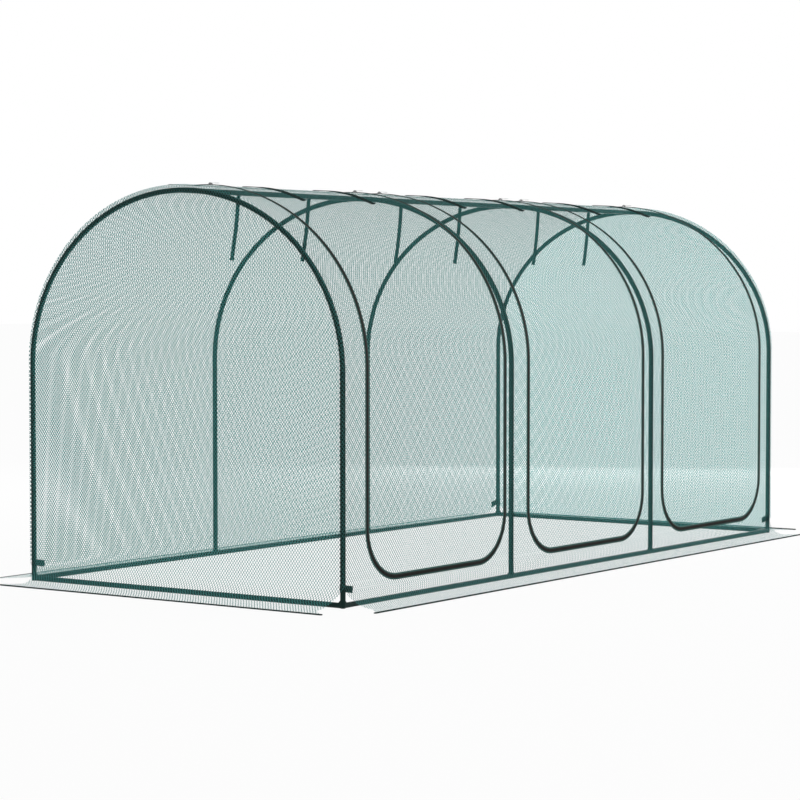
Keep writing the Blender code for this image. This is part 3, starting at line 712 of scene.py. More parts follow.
def net_piece(node, bands, section, place, body):
    """A panel of net: bands of flat cloth, laid along a section and put in their place.

    The section's point and normal are looked up at the length v down the cloth, and
    place(u, out, up) is the point in the cage. The panel's flat size is its length and its
    mean width, as the outline isn't a rectangle.
    """
    quads, lifts = cloth(bands)
    u, v = quads.reshape(-1, 2).T
    lift = np.repeat(lifts, 4)
    points, normals, lengths = section
    out, up = (
        np.interp(v, lengths, points[:, axis]) + lift * np.interp(v, lengths, normals[:, axis])
        for axis in (0, 1)
    )
    laid = place(u, out, up)
    faces = np.arange(len(laid)).reshape(-1, 4).tolist()
    size = np.ptp(quads, axis=(0, 1))
    maps = {"OFBake": (quads.reshape(-1, 2) - quads.min((0, 1))) / size}
    piece = mesh_piece(f"{node}_mesh", laid, faces, maps, YARN, smooth=False)
    stand_for(piece, body, "net", node)
    whole = sum(float(np.trapz(right - left, down)) for down, left, right in bands)
    yarn = float(quad_areas(laid.reshape(-1, 4, 3)).sum())
    print(round(yarn / whole, 2), "of it yarn")


# %% [markdown]
# ## The side panels
#
# The back panel is one piece from the seam down. The front panel is the same cloth with
# three door openings cut out: four upright bands and one band below the doors. The doors
# are panels of their own, cut to the openings.


# %% Hang the back panel
def cloth_reach(section, at, wall, skirt, upright, corner):
    """Half a panel's width at the levels `at`: notched at the corner, then spreading.

    It goes from `upright` to the notch as the flare comes down, and on to its widest over
    the skirt. `corner` is half the width between the frame's corners.
    """
    points, _, lengths = section
    out = np.interp(at, lengths, points[:, 0]) - wall - NET_LIFT
    up = np.interp(at, lengths, points[:, 1])
    flare = (1 - (up - SKIRT_LEVEL) / (FLARE_HEIGHT - SKIRT_LEVEL)).clip(0, 1)
    spread = ((out - FLARE_SPREAD) / (skirt - FLARE_SPREAD)).clip(0, 1)
    reach = upright + (corner - SKIRT_NOTCH - upright) * flare
    return reach + (SKIRT_NOTCH + SKIRT_SPREAD) * spread


def side_reach(section, at):
    """The same for a side panel."""
    return cloth_reach(section, at, HALF_WIDTH, SIDE_SKIRT, NET_HALF_LENGTH, HALF_LENGTH)


down = levels(back_section[2], 0.0, back_section[2][-1])
reach = side_reach(back_section, down)
bands = [(down, -reach, reach)]
net_piece("net_back", bands, back_section, beside, "frame")


# %% Hang the front panel and the doors
def wall_level(height):
    """The length down the front cloth at a height on the wall."""
    rows = slice(ROOF_POINTS - 1, ROOF_POINTS + 2)
    return float(np.interp(-height, -front_section[0][rows, 1], front_section[2][rows]))


def on_the_front(u, out, up):
    """The front is the side towards -Y."""
    return beside(u, -out, up)


pivot = wall_level(DOOR_BOTTOM + DOOR_CORNER)
sill = wall_level(DOOR_BOTTOM)
corner = pivot + DOOR_CORNER * np.sin(np.linspace(0, np.pi / 2, 16))
upper = levels(front_section[2], 0.0, sill, corner[:-1])
lower = levels(front_section[2], sill, front_section[2][-1])
drop = ((upper - pivot) / DOOR_CORNER).clip(0, 1)
half = DOOR_HALF - DOOR_CORNER + DOOR_CORNER * np.sqrt(1 - drop * drop)
reach = side_reach(front_section, upper)
edges = [-reach]
for middle in DOOR_PLACES:
    edges += [middle - half, middle + half]
edges.append(reach)
bands = [(upper, edges[step], edges[step + 1]) for step in range(0, len(edges), 2)]
reach = side_reach(front_section, lower)
bands.append((lower, -reach, reach))
net_piece("net_front", bands, front_section, on_the_front, "frame")
for number, middle in enumerate(DOOR_PLACES, 1):
    net_piece(
        f"door_{number}_net",
        [(upper, middle - half, middle + half)],
        front_section,
        on_the_front,
        f"door_{number}",
    )

# %% [markdown]
# ## The end panels
#
# An end is a flat panel with an arched top. Its strands are straight from edge to edge, and
# the clipping alone gives it the outline of the cover, whose edge shows above the hoop.

# %% Hang the ends
fall = rim[0, 1] - rim[:, 1]
down = levels(end_section[2], 0.0, end_section[2][-1], fall[1:])
upright = np.interp(down, fall, rim[:, 0])
reach = cloth_reach(end_section, down, HALF_LENGTH, END_SKIRT, upright, HALF_WIDTH)
for (label, end), hoop in zip(ENDS, (1, len(HOOP_PLACES))):
    net_piece(
        f"net_end_{label}",
        [(down, -reach, reach)],
        end_section,
        lambda u, out, up: beside(end * out, u, up),
        "frame",
    )

# %% [markdown]
# ## Tubes and hoops
#
# Each hoop is two bent steel tubes. One end is narrowed on a swaging machine, so that it
# plugs into its mate at the ridge. The rails and the ridge are plain straight tube, which
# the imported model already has, so they only get their powder coat.

# %% Bend the hoop halves
TUBE_WALL = 0.001
TUBE_SIDES = 20
TUBE_FOLDS = 8
PLUG_START = -0.03
PLUG_PLACES = (PLUG_START, -0.0285, -0.0012, 0.0002)
PLUG_RADII = (0.0061, 0.0067, 0.0067, TUBE_RADIUS)
SOCKET_START = 0.00015
FINE_ANGLE = 0.012


def hoop_path(swaged):
    """The half hoop's middle line as (out, up) with its normals, from ridge to foot."""
    first = (PLUG_START if swaged else SOCKET_START) / HALF_WIDTH
    plug = np.linspace(first, FINE_ANGLE, 8)[:-1]
    points, normals = arch(np.append(plug, np.linspace(FINE_ANGLE, np.pi / 2, 40)), 0.0)
    leg = np.linspace(SPRING_HEIGHT, FOOT_TOP + SMALL_GAP, 8)[1:]
    points = np.concatenate([points, beside(HALF_WIDTH, leg)])
    return points, np.concatenate([normals, np.tile([1.0, 0.0], (len(leg), 1))])


def tube_piece(node, path, outward, radii):
    """An open tube of changing radius: its outside, then its bore back again."""
    middle = path[:, None]
    spokes = sweep_points(path, outward, ring_section(1.0, TUBE_SIDES)) - middle
    outer = middle + spokes * radii[:, None, None]
    inner = middle + spokes * (radii - TUBE_WALL)[:, None, None]
    shell = np.concatenate([outer, inner[::-1]])
    walked = lengths_along(path)
    down = walked / walked[-1] * TUBE_FOLDS
    side = np.linspace(0, 0.5, TUBE_SIDES + 1)
    flat = grid_map(side, np.concatenate([down, down[::-1], down[:1]]))
    flat[(len(path) - 1) * TUBE_SIDES * 4 :, 0] += 0.5
    maps = {"OFBake": folded(flat, TUBE_FOLDS, 0.97, 0.05)}
    faces = closed_faces(len(shell), TUBE_SIDES)
    piece = mesh_piece(f"{node}_mesh", shell.reshape(-1, 3), faces, maps, COAT)
    face_outwards(piece)
    stand_for(piece, "frame", "frame_tube", node)


for number, along in enumerate(HOOP_PLACES, 1):
    for label, wall in WALLS:
        swaged = label == "front"
        points, normals = hoop_path(swaged)
        path = beside(along, wall * points[:, 0], points[:, 1])
        outward = beside(0.0, wall * normals[:, 0], normals[:, 1])
        radii = np.full(len(points), TUBE_RADIUS)
        if swaged:
            radii = np.interp(points[:, 0], PLUG_PLACES, PLUG_RADII)
        tube_piece(f"hoop_{number}_{label}", path, outward, radii)
coated = [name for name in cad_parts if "rail" in name or "ridge_tube" in name]
for name in coated:
    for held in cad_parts[name].material_slots:
        held.material = COAT
print("8 hoop halves bent,", len(coated), "straight tubes coated")

# %% [markdown]
# ## Feet
#
# The feet are moulded plastic: round arms with a web in each corner, and every inner edge
# is blended, as a mould needs. The arms and webs are built as plain solids. A remesh then
# melts them into one skin and a few smoothing passes round the joins.


# %% Build arms and webs as plain solids
def rod_parts(way, low, high, radius, sides=32):
    """Points and faces of a round bar along a direction, with a chamfer at both ends."""
    across = [0.0, 0.0, 1.0] if abs(way[2]) < 0.5 else [1.0, 0.0, 0.0]
    soft = 0.0007
    path = np.outer([low, low + soft, high - soft, high], way)
    size = np.array([radius - soft, radius, radius, radius - soft])[:, None, None]
    rings = sweep_points(path, np.tile(across, (4, 1)), ring_section(1.0, sides))
    rings = path[:, None] + (rings - path[:, None]) * size
    return rings.reshape(-1, 3), capped_faces(4, sides)


def web_parts(first, second, reach, thick):
    """Points and faces of a corner web: a triangle between two arms."""
    outline = np.array([[0, 0], [reach, 0], [0, reach]])
    middle = outline[:, :1] * first + outline[:, 1:] * second
    across = np.cross(second, first) * thick / 2
    return np.concatenate([middle - across, middle + across]), capped_faces(2, 3)


def joined(parts):
    """One list of points and faces from several."""
    points, faces, shift = [], [], 0
    for part_points, part_faces in parts:
        points.append(part_points)
        faces += [[int(corner) + shift for corner in face] for face in part_faces]
        shift += len(part_points)
    return np.concatenate(points), faces


def moulded(parts, grain, passes):
    """Melt solids into one skin of about this grain and smooth it. Gives points, faces."""
    raw = mesh_piece("raw", *joined(parts), {}, COAT)
    face_outwards(raw)
    melt = raw.modifiers.new("melt", "REMESH")
    melt.mode = "VOXEL"
    melt.voxel_size = grain
    calm = raw.modifiers.new("calm", "SMOOTH")
    calm.factor = 0.5
    calm.iterations = passes
    graph = bpy.context.evaluated_depsgraph_get()
    skin = bpy.data.meshes.new_from_object(raw.evaluated_get(graph))
    found = np.empty(len(skin.vertices) * 3, np.float32)
    skin.vertices.foreach_get("co", found)
    faces = [list(face.vertices) for face in skin.polygons]
    bpy.data.objects.remove(raw)
    bpy.data.meshes.remove(skin)
    return found.reshape(-1, 3), faces


print("a web has", len(web_parts(*np.eye(3)[:2], 0.02, 0.008)[1]), "faces before it melts")

# %% Mould the feet
X, Y, Z = np.eye(3)
ARM_START, ARM_END = -0.004, 0.045
POST_END = 0.0503
WEB_REACH, WEB_THICKNESS = 0.0225, 0.008
MOULD_GRAIN, SMOOTHING_PASSES = 0.0009, 4
SPIGOT_RADIUS, SPIGOT_SIDES = 0.0067, 16
RAIL_SPIGOT = (0.036, 0.0745)
LEG_SPIGOT = (0.042, 0.0795)

FOOT_ARMS = {"corner": (-TUBE_RADIUS, [X, Y]), "tee": (0.0, [X, -X])}
feet = {}
for kind, (low, ways) in FOOT_ARMS.items():
    parts = [rod_parts(Z, low, POST_END, TUBE_RADIUS)]
    for way in ways:
        parts.append(rod_parts(way, ARM_START, ARM_END, TUBE_RADIUS))
    for way in ways:
        parts.append(web_parts(way, Z, WEB_REACH, WEB_THICKNESS))
    if kind == "corner":
        parts.append(web_parts(X, Y, WEB_REACH, WEB_THICKNESS))
    skin = moulded(parts, MOULD_GRAIN, SMOOTHING_PASSES)
    spigots = [rod_parts(way, *RAIL_SPIGOT, SPIGOT_RADIUS, SPIGOT_SIDES) for way in ways]
    spigots.append(rod_parts(Z, *LEG_SPIGOT, SPIGOT_RADIUS, SPIGOT_SIDES))
    feet[kind] = joined([skin, *spigots])
    print(kind, "foot:", len(feet[kind][1]), "faces")


# %% Set the feet down
def turning(angle, first, second):
    """The matrix that turns points, as rows, from one axis towards another."""
    matrix = np.eye(3)
    matrix[first, first] = matrix[second, second] = math.cos(angle)
    matrix[first, second] = math.sin(angle)
    matrix[second, first] = -math.sin(angle)
    return matrix


places = []
for hoop, along in list(enumerate(HOOP_PLACES, 1))[1:-1]:
    for label, wall in WALLS:
        places.append((f"foot_hoop_{hoop}_{label}", "tee", along, wall, 0))
around = [("left_front", -1, -1), ("right_front", 1, -1), ("right_back", 1, 1)]
around.append(("left_back", -1, 1))
for quarter, (label, end, wall) in enumerate(around):
    places.append((f"foot_{label}", "corner", end * HALF_LENGTH, wall, quarter * 90))
for name, kind, along, wall, turn in places:
    points, faces = feet[kind]
    points = points @ turning(math.radians(turn), 0, 1)
    points = points + [along, wall * HALF_WIDTH, RAIL_HEIGHT]
    stand_for(mesh_piece(f"{name}_mesh", points, faces, {}, COAT), "frame", "frame_tube", name)
print(len(places), "feet set down")

# %% [markdown]
# ## Zips
#
# Each zip is one long band in a U: over the roof from the seam, down the wall, round the
# door's lower corners and up again. The band is dark tape with green edges, and a dark coil
# runs down the middle. The coil is a row of small ridges, set left and right in turn as
# they mesh.


# %% Draw the zip's line
def zip_path(middle):
    """The zip's line on the net and its outward directions, from seam to seam."""
    start = math.asin((SMALL_GAP - SEAM) / HALF_WIDTH)
    roof, roof_normal = cover(np.linspace(start, np.pi / 2, 40), ZIP_BASE)
    pivot = DOOR_BOTTOM + DOOR_CORNER
    straight = DOOR_HALF - DOOR_CORNER
    wall = np.linspace(SPRING_HEIGHT, pivot, 9)[1:-1]
    turn = np.linspace(0, np.pi / 2, 15)
    up = np.concatenate([roof[:, 1], wall, pivot - DOOR_CORNER * np.sin(turn)])
    out = np.full(len(up), HALF_WIDTH + ZIP_BASE)
    out[: len(roof)] = roof[:, 0]
    side = np.full(len(up), DOOR_HALF)
    side[-len(turn) :] = straight + DOOR_CORNER * np.cos(turn)
    left = beside(-side, -out, up)
    normal = np.tile([0.0, -1.0, 0.0], (len(up), 1))
    normal[: len(roof), 1:] = roof_normal * [-1, 1]
    mirror = np.array([-1.0, 1.0, 1.0])
    bottom = beside(np.linspace(-straight, straight, 9)[1:-1], *left[-1, 1:])
    path = np.concatenate([left, bottom, left[::-1] * mirror])
    below = np.tile(normal[-1], (len(bottom), 1))
    return path + [middle, 0, 0], np.concatenate([normal, below, normal[::-1] * mirror])


print("a zip's line is", round(float(lengths_along(zip_path(0.0)[0])[-1]), 3), "m long")

# %% Sew in the zips
TOOTH_PITCH = 0.0022
TOOTH_SIZE = (0.0054, 0.0014, 0.0010)
TOOTH_BASE = 0.0014
TOOTH_SWAY = 0.0007
TOOTH_TAPER = 0.62
BLOCK_FACES = np.array(
    [[3, 2, 1, 0], [4, 5, 6, 7], [0, 1, 5, 4], [1, 2, 6, 5], [2, 3, 7, 6], [3, 0, 4, 7]]
)
ZIP_SIDE = [(0.0100, 0.0), (0.0100, 0.0004), (0.0070, 0.0008), (0.0048, 0.0015)]
ZIP_SECTION = np.array(ZIP_SIDE + [(-out, up) for out, up in reversed(ZIP_SIDE)])


def tooth_blocks(path, outward):
    """Small tapered blocks (n, 8 points) along a path, each square to it."""
    walked = lengths_along(path)
    at = np.arange(TOOTH_PITCH, walked[-1] - TOOTH_PITCH, TOOTH_PITCH)
    spot, way, lift = (
        beside(*(np.interp(at, walked, each[:, axis]) for axis in range(3)))
        for each in (path, unit(np.gradient(path, axis=0)), outward)
    )
    side = unit(np.cross(way, lift))
    swing = np.where(np.arange(len(at)) % 2 == 0, TOOTH_SWAY, -TOOTH_SWAY)[:, None]
    wide, long, high = TOOTH_SIZE
    blocks = []
    for up, shrink in ((TOOTH_BASE, 1.0), (TOOTH_BASE + high, TOOTH_TAPER)):
        for first, second in ((-1, -1), (1, -1), (1, 1), (-1, 1)):
            sideways = side * (swing + first * wide / 2 * shrink)
            blocks.append(spot + sideways + way * second * long / 2 * shrink + lift * up)
    return np.stack(blocks, 1)


for number, middle in enumerate(DOOR_PLACES, 1):
    door = f"door_{number}"
    path, outward = zip_path(middle)
    tape_piece(f"{door}_band", path, outward, ZIP_SECTION, BAND, door, "zip", f"{door}_zip")
    blocks = tooth_blocks(path, outward)
    faces = (np.arange(len(blocks))[:, None, None] * 8 + BLOCK_FACES).reshape(-1, 4).tolist()
    points = blocks.reshape(-1, 3)
    teeth = mesh_piece(f"{door}_teeth_mesh", points, faces, {}, TEETH, smooth=False)
    stand_for(teeth, door, "zip", f"{door}_zip")
    print("zip", number, "has", len(blocks), "teeth")

# %% [markdown]
# ## Zip sliders
#
# A slider is a small zinc casting: two plates joined by a wedge, a bridge on top, and a
# pull with a slot that hangs in the bridge. All six are parked just in front of the ridge.


# %% Cut plates from outlines
def stacked(layers):
    """The points of outlines (n, 2), each at its own height, one after another."""
    return np.concatenate([beside(shape[:, 0], shape[:, 1], up) for shape, up in layers])


def plate_parts(outline, low, high, soft):
    """Points and faces of a flat plate with softened edges, from an outline (n, 2)."""
    middle = outline.mean(0)
    inset = middle + (outline - middle) * (1 - soft / np.abs(outline - middle).max())
    layers = [(inset, low), (outline, low + soft), (outline, high - soft), (inset, high)]
    return stacked(layers), capped_faces(4, len(outline))


def slotted_parts(outer, inner, low, high):
    """Points and faces of a plate with a slot: two outlines of the same count."""
    layers = [(outer, low), (outer, high), (inner, high), (inner, low)]
    return stacked(layers), closed_faces(4, len(outer))


def rounded(low, high, half, radius, steps=6):
    """The outline of a rounded oblong from low to high, and half wide on both sides."""
    turn = np.linspace(0, np.pi / 2, steps)
    right, left, side = high - radius, low + radius, half - radius
    middles = ((right, side), (left, side), (left, -side), (right, -side))
    corners = []
    for quarter, (x, y) in enumerate(middles):
        angle = turn + quarter * np.pi / 2
        corners.append(beside(x + radius * np.cos(angle), y + radius * np.sin(angle)))
    return np.concatenate(corners)


print("a rounded outline has", len(rounded(-0.007, 0.007, 0.005, 0.002)), "points")

# %% Size the slider
# A plate is (its lowest height, its top, its edge's softening).
SLIDER_HALF, SLIDER_SIDE, SLIDER_CORNER = 0.0070, 0.0055, 0.0022
SLIDER_TAPER = 0.20
LOWER_PLATE = (0.0, 0.0011, 0.0003)
WEDGE, WEDGE_SHARES = (0.0009, 0.0021, 0.0002), (0.62, 0.40)
UPPER_PLATE, UPPER_SHARES = (0.0019, 0.0029, 0.0003), (0.86, 0.92)

# A rounded outline is (its near end, its far end, its half width, its corners' radius).
PULL_NEAR, PULL_FAR, PULL_SIDE, PULL_CORNER = 0.0022, 0.0330, 0.0036, 0.0030
PULL_TAPER = 0.38
PULL_SLOT = (0.0034, 0.0112, 0.0013, 0.0012)
PULL_HEIGHTS = (0.0033, 0.0043)
GRIP_OUTLINE, GRIP = (0.0180, 0.0300, 0.0020, 0.0018), (0.0031, 0.0045, 0.0003)

BRIDGE_HALF, BRIDGE_FOOT, BRIDGE_RISE, BRIDGE_RADIUS = 0.0046, 0.0027, 0.0021, 0.0008
BRIDGE_STEPS, BRIDGE_SIDES = 15, 10
print("a slider is", 2 * SLIDER_HALF, "m long, its pull", round(PULL_FAR - PULL_NEAR, 4), "m")


# %% Cast the sliders
def tapered(outline, low, high, taper):
    """An outline whose low end is narrower by the share `taper`, growing to the high end."""
    share = ((outline[:, 0] - low) / (high - low)).clip(0, 1)
    return outline * beside(1.0, (1 - taper) + taper * share)


def slider_parts():
    """A slider on its base, as (body, pull): X is across the zip, the pull points to -Y."""
    body = rounded(-SLIDER_HALF, SLIDER_HALF, SLIDER_SIDE, SLIDER_CORNER)
    body = tapered(body, -SLIDER_HALF, SLIDER_HALF, SLIDER_TAPER)
    pull = rounded(PULL_NEAR, PULL_FAR, PULL_SIDE, PULL_CORNER)
    pull = tapered(pull, PULL_NEAR, PULL_FAR, PULL_TAPER)
    parts = [
        plate_parts(body, *LOWER_PLATE),
        plate_parts(body * WEDGE_SHARES, *WEDGE),
        plate_parts(body * UPPER_SHARES, *UPPER_PLATE),
        slotted_parts(pull, rounded(*PULL_SLOT), *PULL_HEIGHTS),
        plate_parts(rounded(*GRIP_OUTLINE), *GRIP),
    ]
    swap = np.array([[0, -1, 0], [1, 0, 0], [0, 0, 1]])
    parts = [(points @ swap, faces) for points, faces in parts]
    turn = np.linspace(0, np.pi, BRIDGE_STEPS)
    arc = beside(0.0, -BRIDGE_HALF * np.cos(turn), BRIDGE_FOOT + BRIDGE_RISE * np.sin(turn))
    sideways = np.tile([1.0, 0, 0], (BRIDGE_STEPS, 1))
    rings = sweep_points(arc, sideways, ring_section(BRIDGE_RADIUS, BRIDGE_SIDES))
    bridge = rings.reshape(-1, 3), capped_faces(BRIDGE_STEPS, BRIDGE_SIDES)
    return joined([*parts[:3], bridge]), joined(parts[3:])


slider_body, slider_pull = slider_parts()
slider_points, slider_faces = joined([slider_body, slider_pull])
print("a slider has", len(slider_faces), "faces,", len(slider_pull[1]), "of them its pull")

# %% [markdown]
# A slider stands on the zip where the crown is nearly a circle. That circle's radius is the
# offset ellipse's radius of curvature at the ridge: half width squared divided by rise,
# both of the offset curve. The slider is turned about its middle to its parking place.

# %% Park the sliders on the crown
PARKED_AT = 0.03
crown_lift = ZIP_BASE + ZIP_THICKNESS + COVER_SLACK
bend = ARCH_RISE + COVER_SLACK + crown_lift * (ARCH_RISE / HALF_WIDTH) ** 2
crown_radius = (HALF_WIDTH + crown_lift * ARCH_RISE / HALF_WIDTH) ** 2 / bend
crown_middle = RIDGE_HEIGHT + crown_lift - crown_radius
stand = crown_radius + SMALL_GAP
slope = math.asin(PARKED_AT / stand)
slider_points = (slider_points + [0, 0, stand]) @ turning(slope, 1, 2)
bare = np.arange(len(slider_faces)) >= len(slider_body[1])
for number, middle in enumerate(DOOR_PLACES, 1):
    for label, side in ENDS:
        points = slider_points + [middle + side * DOOR_HALF, 0, crown_middle]
        name = f"slider_{number}_{label}"
        piece = mesh_piece(f"{name}_mesh", points, slider_faces, {}, [ENAMEL, ZINC])
        piece.data.polygons.foreach_set("material_index", bare.astype(np.int32))
        face_outwards(piece)
        stand_for(piece, name, "zip_slider", f"zip_{name}")
print("six sliders parked at y =", round(float(slider_points[:, 1].mean()), 3))

# %% [markdown]
# ## Ties and straps
#
# A rolled-up door is tied with a pair of tapes, one outside and one inside. They hang
# loose here: the outer ones lie on the roof, turn a little onto one edge and curl up at
# their cut end. The inner ones leave the back of the ridge tube, twist at once, drift to
# the left and hook a little at their cut end. Short straps hold the net to the corner legs.

# %% Cut the ties
TIE_OFFSET = 0.18
TIE_WIDTH, TIE_THICKNESS = 0.012, 0.0020
TIE_START, TIE_END = 0.006, 0.256
TIE_DRIFT, DRIFT_POWER = 0.028, 1.5
TIE_LEAN, LEAN_START, LEAN_LENGTH = 0.42, 0.05, 0.12
TIE_RISE, TIE_GAP = 0.0062, 0.0001
CURL_LENGTH, CURL_HEIGHT = 0.016, 0.0035

tie_places = [
    (f"{number}_{label}", middle + side * TIE_OFFSET)
    for number, middle in enumerate(DOOR_PLACES, 1)
    for label, side in ENDS
]
out = np.linspace(TIE_START, TIE_END, 30)
lean = TIE_LEAN * ((out - LEAN_START) / LEAN_LENGTH).clip(0, 1)
curl = CURL_HEIGHT * ((out - (TIE_END - CURL_LENGTH)) / CURL_LENGTH).clip(0, 1) ** 2
drift = -TIE_DRIFT * (out / TIE_END) ** DRIFT_POWER
roof, roof_normal = cover(np.arcsin(out / HALF_WIDTH), ZIP_BASE + TIE_GAP)
roof = roof + roof_normal * (curl + TIE_RISE * np.sin(lean))[:, None]
outward = beside(-np.sin(lean), *(roof_normal * [-1, 1] * np.cos(lean)[:, None]).T)
section = strap_section(TIE_WIDTH, TIE_THICKNESS)
for label, place in tie_places:
    name, door = f"outer_tie_{label}", f"door_{label[0]}"
    path = beside(place + drift, -roof[:, 0], roof[:, 1])
    tape_piece(name, path, outward, section, WEBBING, door, "webbing", name)
print("an outer tie is", round(float(lengths_along(path)[-1]), 3), "m long")

# %% Hang the inner straps
STRAP_THICKNESS = 0.0012
STRAP_TOP, STRAP_DROP = RIDGE_HEIGHT + 0.0055, 0.2125
STRAP_DRIFT, STRAP_POWER = 0.034, 1.6
STRAP_TWIST, TWIST_SHARE, TWIST_POWER = 1.02, 0.12, 1.5
STRAP_BEHIND, STEP_BACK, STEP_SHARE = 0.0088, 0.0058, 0.10
HOOK_START, HOOK_BACK, HOOK_ASIDE = 0.86, 0.003, 0.004

share = np.linspace(0, 1, 34)
twist = STRAP_TWIST * (share / TWIST_SHARE).clip(0, 1) ** TWIST_POWER
hook = ((share - HOOK_START) / (1 - HOOK_START)).clip(0, 1) ** 2
behind = STRAP_BEHIND + STEP_BACK * (share / STEP_SHARE).clip(0, 1) + HOOK_BACK * hook
height = STRAP_TOP - STRAP_DROP * share
aside = HOOK_ASIDE * hook - STRAP_DRIFT * share**STRAP_POWER
outward = beside(-np.sin(twist), -np.cos(twist), 0.0)
section = strap_section(TIE_WIDTH, STRAP_THICKNESS, -STRAP_THICKNESS / 2)
for label, place in tie_places:
    name = f"inner_strap_{label}"
    path = beside(place + aside, behind, height)
    tape_piece(name, path, outward, section, WEBBING, "frame", "webbing", name)
print("an inner strap is", round(float(lengths_along(path)[-1]), 3), "m long")

# %% [markdown]
# A foot strap is a loop: round the inner side of the leg, out along the wall as a tail of
# two plies, and back again.

# %% Loop the foot straps
FOOT_STRAP_WIDTH, FOOT_STRAP_THICKNESS = 0.020, 0.0006
STRAP_LEVEL = 0.056
LOOP_RADIUS = 0.0089
LOOP_OUTSIDE = 0.0095
TAIL_ANGLE = 0.05
TAIL_START, TAIL_END = 0.0098, 0.0462
PLY = 0.0004
TAIL_DROOP = 0.006


def arc_points(turn, radius, middle=0.0):
    """Points of a circle at the given angles."""
    return beside(middle + radius * np.cos(turn), radius * np.sin(turn))


first = math.acos((TUBE_RADIUS - SMALL_GAP) / LOOP_OUTSIDE)
tail = np.linspace(TAIL_START, TAIL_END, 12)
loop = np.concatenate(
    [
        arc_points(np.linspace(first - np.pi / 2, -TAIL_ANGLE, 12), LOOP_RADIUS),
        beside(tail, -PLY),
        arc_points(np.linspace(-np.pi / 2, np.pi / 2, 7)[1:-1], PLY, TAIL_END),
        beside(tail[::-1], PLY),
        arc_points(np.linspace(TAIL_ANGLE, np.pi - first, 20), LOOP_RADIUS),
    ]
)
droop = TAIL_DROOP * ((loop[:, 0] - TAIL_START) / (TAIL_END + PLY - TAIL_START)).clip(0, 1)
ahead = unit(np.gradient(loop, axis=0))
section = strap_section(FOOT_STRAP_WIDTH, FOOT_STRAP_THICKNESS, -FOOT_STRAP_THICKNESS / 2)
for end_label, end in ENDS:
    for wall_label, wall in WALLS:
        name = f"foot_strap_{end_label}_{wall_label}"
        along, across = end * (HALF_LENGTH - loop[:, 0]), wall * (HALF_WIDTH - loop[:, 1])
        path = beside(along, across, STRAP_LEVEL - droop)
        outward = beside(-end * ahead[:, 1], wall * ahead[:, 0], 0.0)
        tape_piece(name, path, outward, section, WEBBING, "frame", "webbing", name)
print("a foot strap's tail ends", round(TAIL_END + PLY, 4), "m from its leg's middle")

# %% [markdown]
# ## Seams and bound edges
#
# A tape is folded over the outer edge of each ground skirt and sewn down, which makes a
# rolled edge that stands up a little. On the back one it is pressed flat. A flat tape
# covers the seam behind the ridge.

# %% Sew the seams
HEM_HALF = 0.0045
HEM = np.array(
    [
        (0.0040, 0.0002), (HEM_HALF, 0.0014), (0.0042, 0.0030), (0.0030, 0.0042),
        (-0.0030, 0.0036), (-0.0042, 0.0024), (-HEM_HALF, 0.0012), (-0.0040, 0.0002),
    ]
)
BACK_HEM_SHARES = (1, 0.25)
HEM_STEP = 0.02
SEAM_TAPE_AT, SEAM_TAPE_GAP = 0.0345, 0.0006
SEAM_TAPE_WIDTH, SEAM_TAPE_THICKNESS = 0.008, 0.0008


def edge_tape(name, start, end, section):
    """A straight tape from start to end, lying flat, that rides with the frame."""
    start, end = np.array(start, float), np.array(end, float)
    count = max(2, int(np.linalg.norm(end - start) / HEM_STEP))
    share = np.linspace(0, 1, count)[:, None]
    path = start * (1 - share) + end * share
    upwards = np.tile([0.0, 0, 1], (count, 1))
    tape_piece(name, path, upwards, section, BINDING, "frame", "webbing")


side_edge = HALF_WIDTH + NET_LIFT - SKIRT_LEVEL + SIDE_SKIRT - HEM_HALF
end_edge = HALF_LENGTH + NET_LIFT - SKIRT_LEVEL + END_SKIRT - HEM_HALF
side_end = HALF_LENGTH + SKIRT_SPREAD
end_side = HALF_WIDTH + SKIRT_SPREAD
edge_tape("hem_front", (-side_end, -side_edge, 0), (side_end, -side_edge, 0), HEM)
back_hem = HEM * BACK_HEM_SHARES
edge_tape("hem_back", (side_end, side_edge, 0), (-side_end, side_edge, 0), back_hem)
edge_tape("hem_left", (-end_edge, end_side, 0), (-end_edge, -end_side, 0), HEM)
edge_tape("hem_right", (end_edge, -end_side, 0), (end_edge, end_side, 0), HEM)
seam_height = cover(math.asin(SEAM_TAPE_AT / HALF_WIDTH), NET_LIFT + SEAM_TAPE_GAP)[0][1]
seam_ends = [(end * NET_HALF_LENGTH, SEAM_TAPE_AT, seam_height) for end in (-1, 1)]
edge_tape("ridge_seam", *seam_ends, strap_section(SEAM_TAPE_WIDTH, SEAM_TAPE_THICKNESS))
print("the skirts are bound", round(side_edge, 3), "m and", round(end_edge, 3), "m out")

# %% [markdown]
# ## Floor and light
#
# The photograph is a product shot on pure white. The floor shows itself to the camera
# mostly as plain white, and keeps a share of its real shading, so the cage still has a
# faint shadow. The world gives an even soft light. Both softboxes stand beyond the far end.
# The weaker one is on the doors' side. The stronger one is low, on the other side, and
# shines through the net, so that the doors and the roof get brighter towards the right.


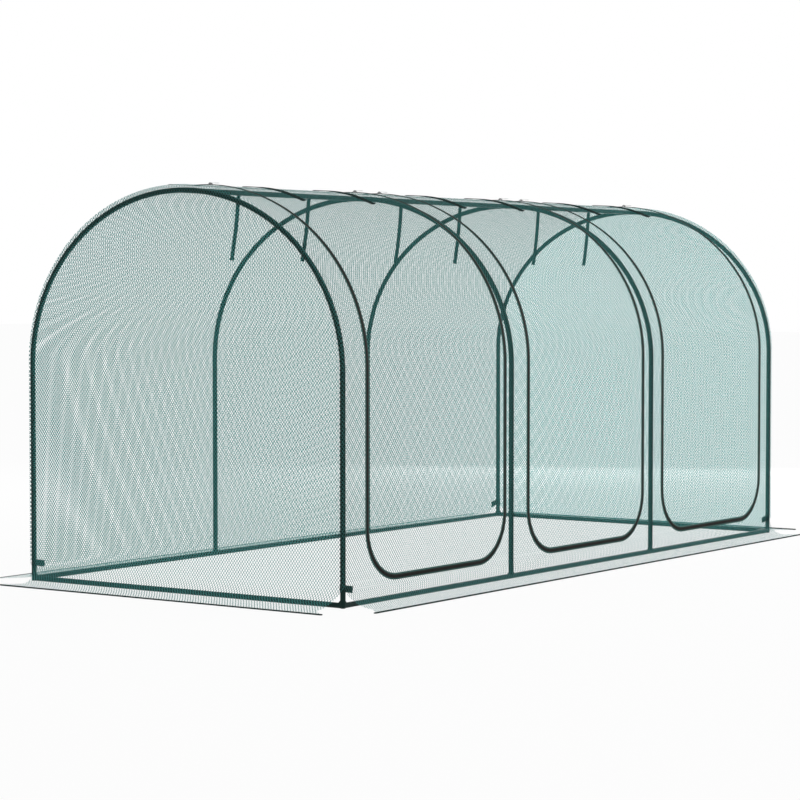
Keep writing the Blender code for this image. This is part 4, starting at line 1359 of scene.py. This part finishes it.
# %% Make the floor and the sky
def seen_directly(finish):
    """1 for rays from the camera, a mirror or a clear pane, and 0 for all others."""
    seen = finish.node("LightPath", {}, {}, output="Is Camera Ray")
    outputs = seen.socket.node.outputs
    for kind in ("Is Glossy Ray", "Is Transmission Ray"):
        seen = seen + Wire(finish, outputs[kind])
    return seen.above(0.5, 0.1)


WHITE = (1, 1, 1, 1)
WHITE_SHARE = 0.93
FLOOR_REACH, FLOOR_LEVEL = 40, -0.0006
SKY_LIGHT, SKY_SHOWN = 0.80, 0.20

floor = Finish("floor")
seen = seen_directly(floor) * WHITE_SHARE
shaded = floor.node("BsdfDiffuse", {}, {"Color": (0.80, 0.80, 0.80, 1)})
white = floor.node("Emission", {}, {"Color": WHITE, "Strength": 1.0})
both = floor.node("MixShader", {}, {0: seen, 1: shaded, 2: white})
floor.node("OutputMaterial", {}, {"Surface": both})
quarters = np.array([(-1, -1), (1, -1), (1, 1), (-1, 1)]) * FLOOR_REACH
corners = beside(*quarters.T, FLOOR_LEVEL)
ground = mesh_piece("ground", corners, [range(4)], {}, floor.owner, smooth=False)

world = bpy.data.worlds.new("studio")
bpy.context.scene.world = world
sky = Finish("studio", world)
strength = SKY_LIGHT + seen_directly(sky) * SKY_SHOWN
light = sky.node("Background", {}, {"Color": WHITE, "Strength": strength})
sky.node("OutputWorld", {}, {"Surface": light})
print("floor", 2 * FLOOR_REACH, "m wide, sky:", world.name)

# %% Set up the softboxes
SOFTBOX_SIZE = (2.4, 1.2)
LAMPS = (
    ("front_softbox", 75.0, (3.8, -3.4, 2.0), (73, 47)),
    ("rear_softbox", 190.0, (4.0, 1.6, 0.85), (88, 118)),
)
for name, power, spot, (tip, swing) in LAMPS:
    lamp_data = bpy.data.lights.new(name, "AREA")
    lamp_data.shape = "RECTANGLE"
    lamp_data.size, lamp_data.size_y = SOFTBOX_SIZE
    lamp_data.energy = power
    lamp = bpy.data.objects.new(name, lamp_data)
    lamp.location = spot
    lamp.rotation_euler = (math.radians(tip), 0, math.radians(swing))
    lamp.visible_camera = False
    bpy.context.scene.collection.objects.link(lamp)
    print(name, power, "W at", spot)
bpy.context.scene.view_settings.view_transform = "Standard"
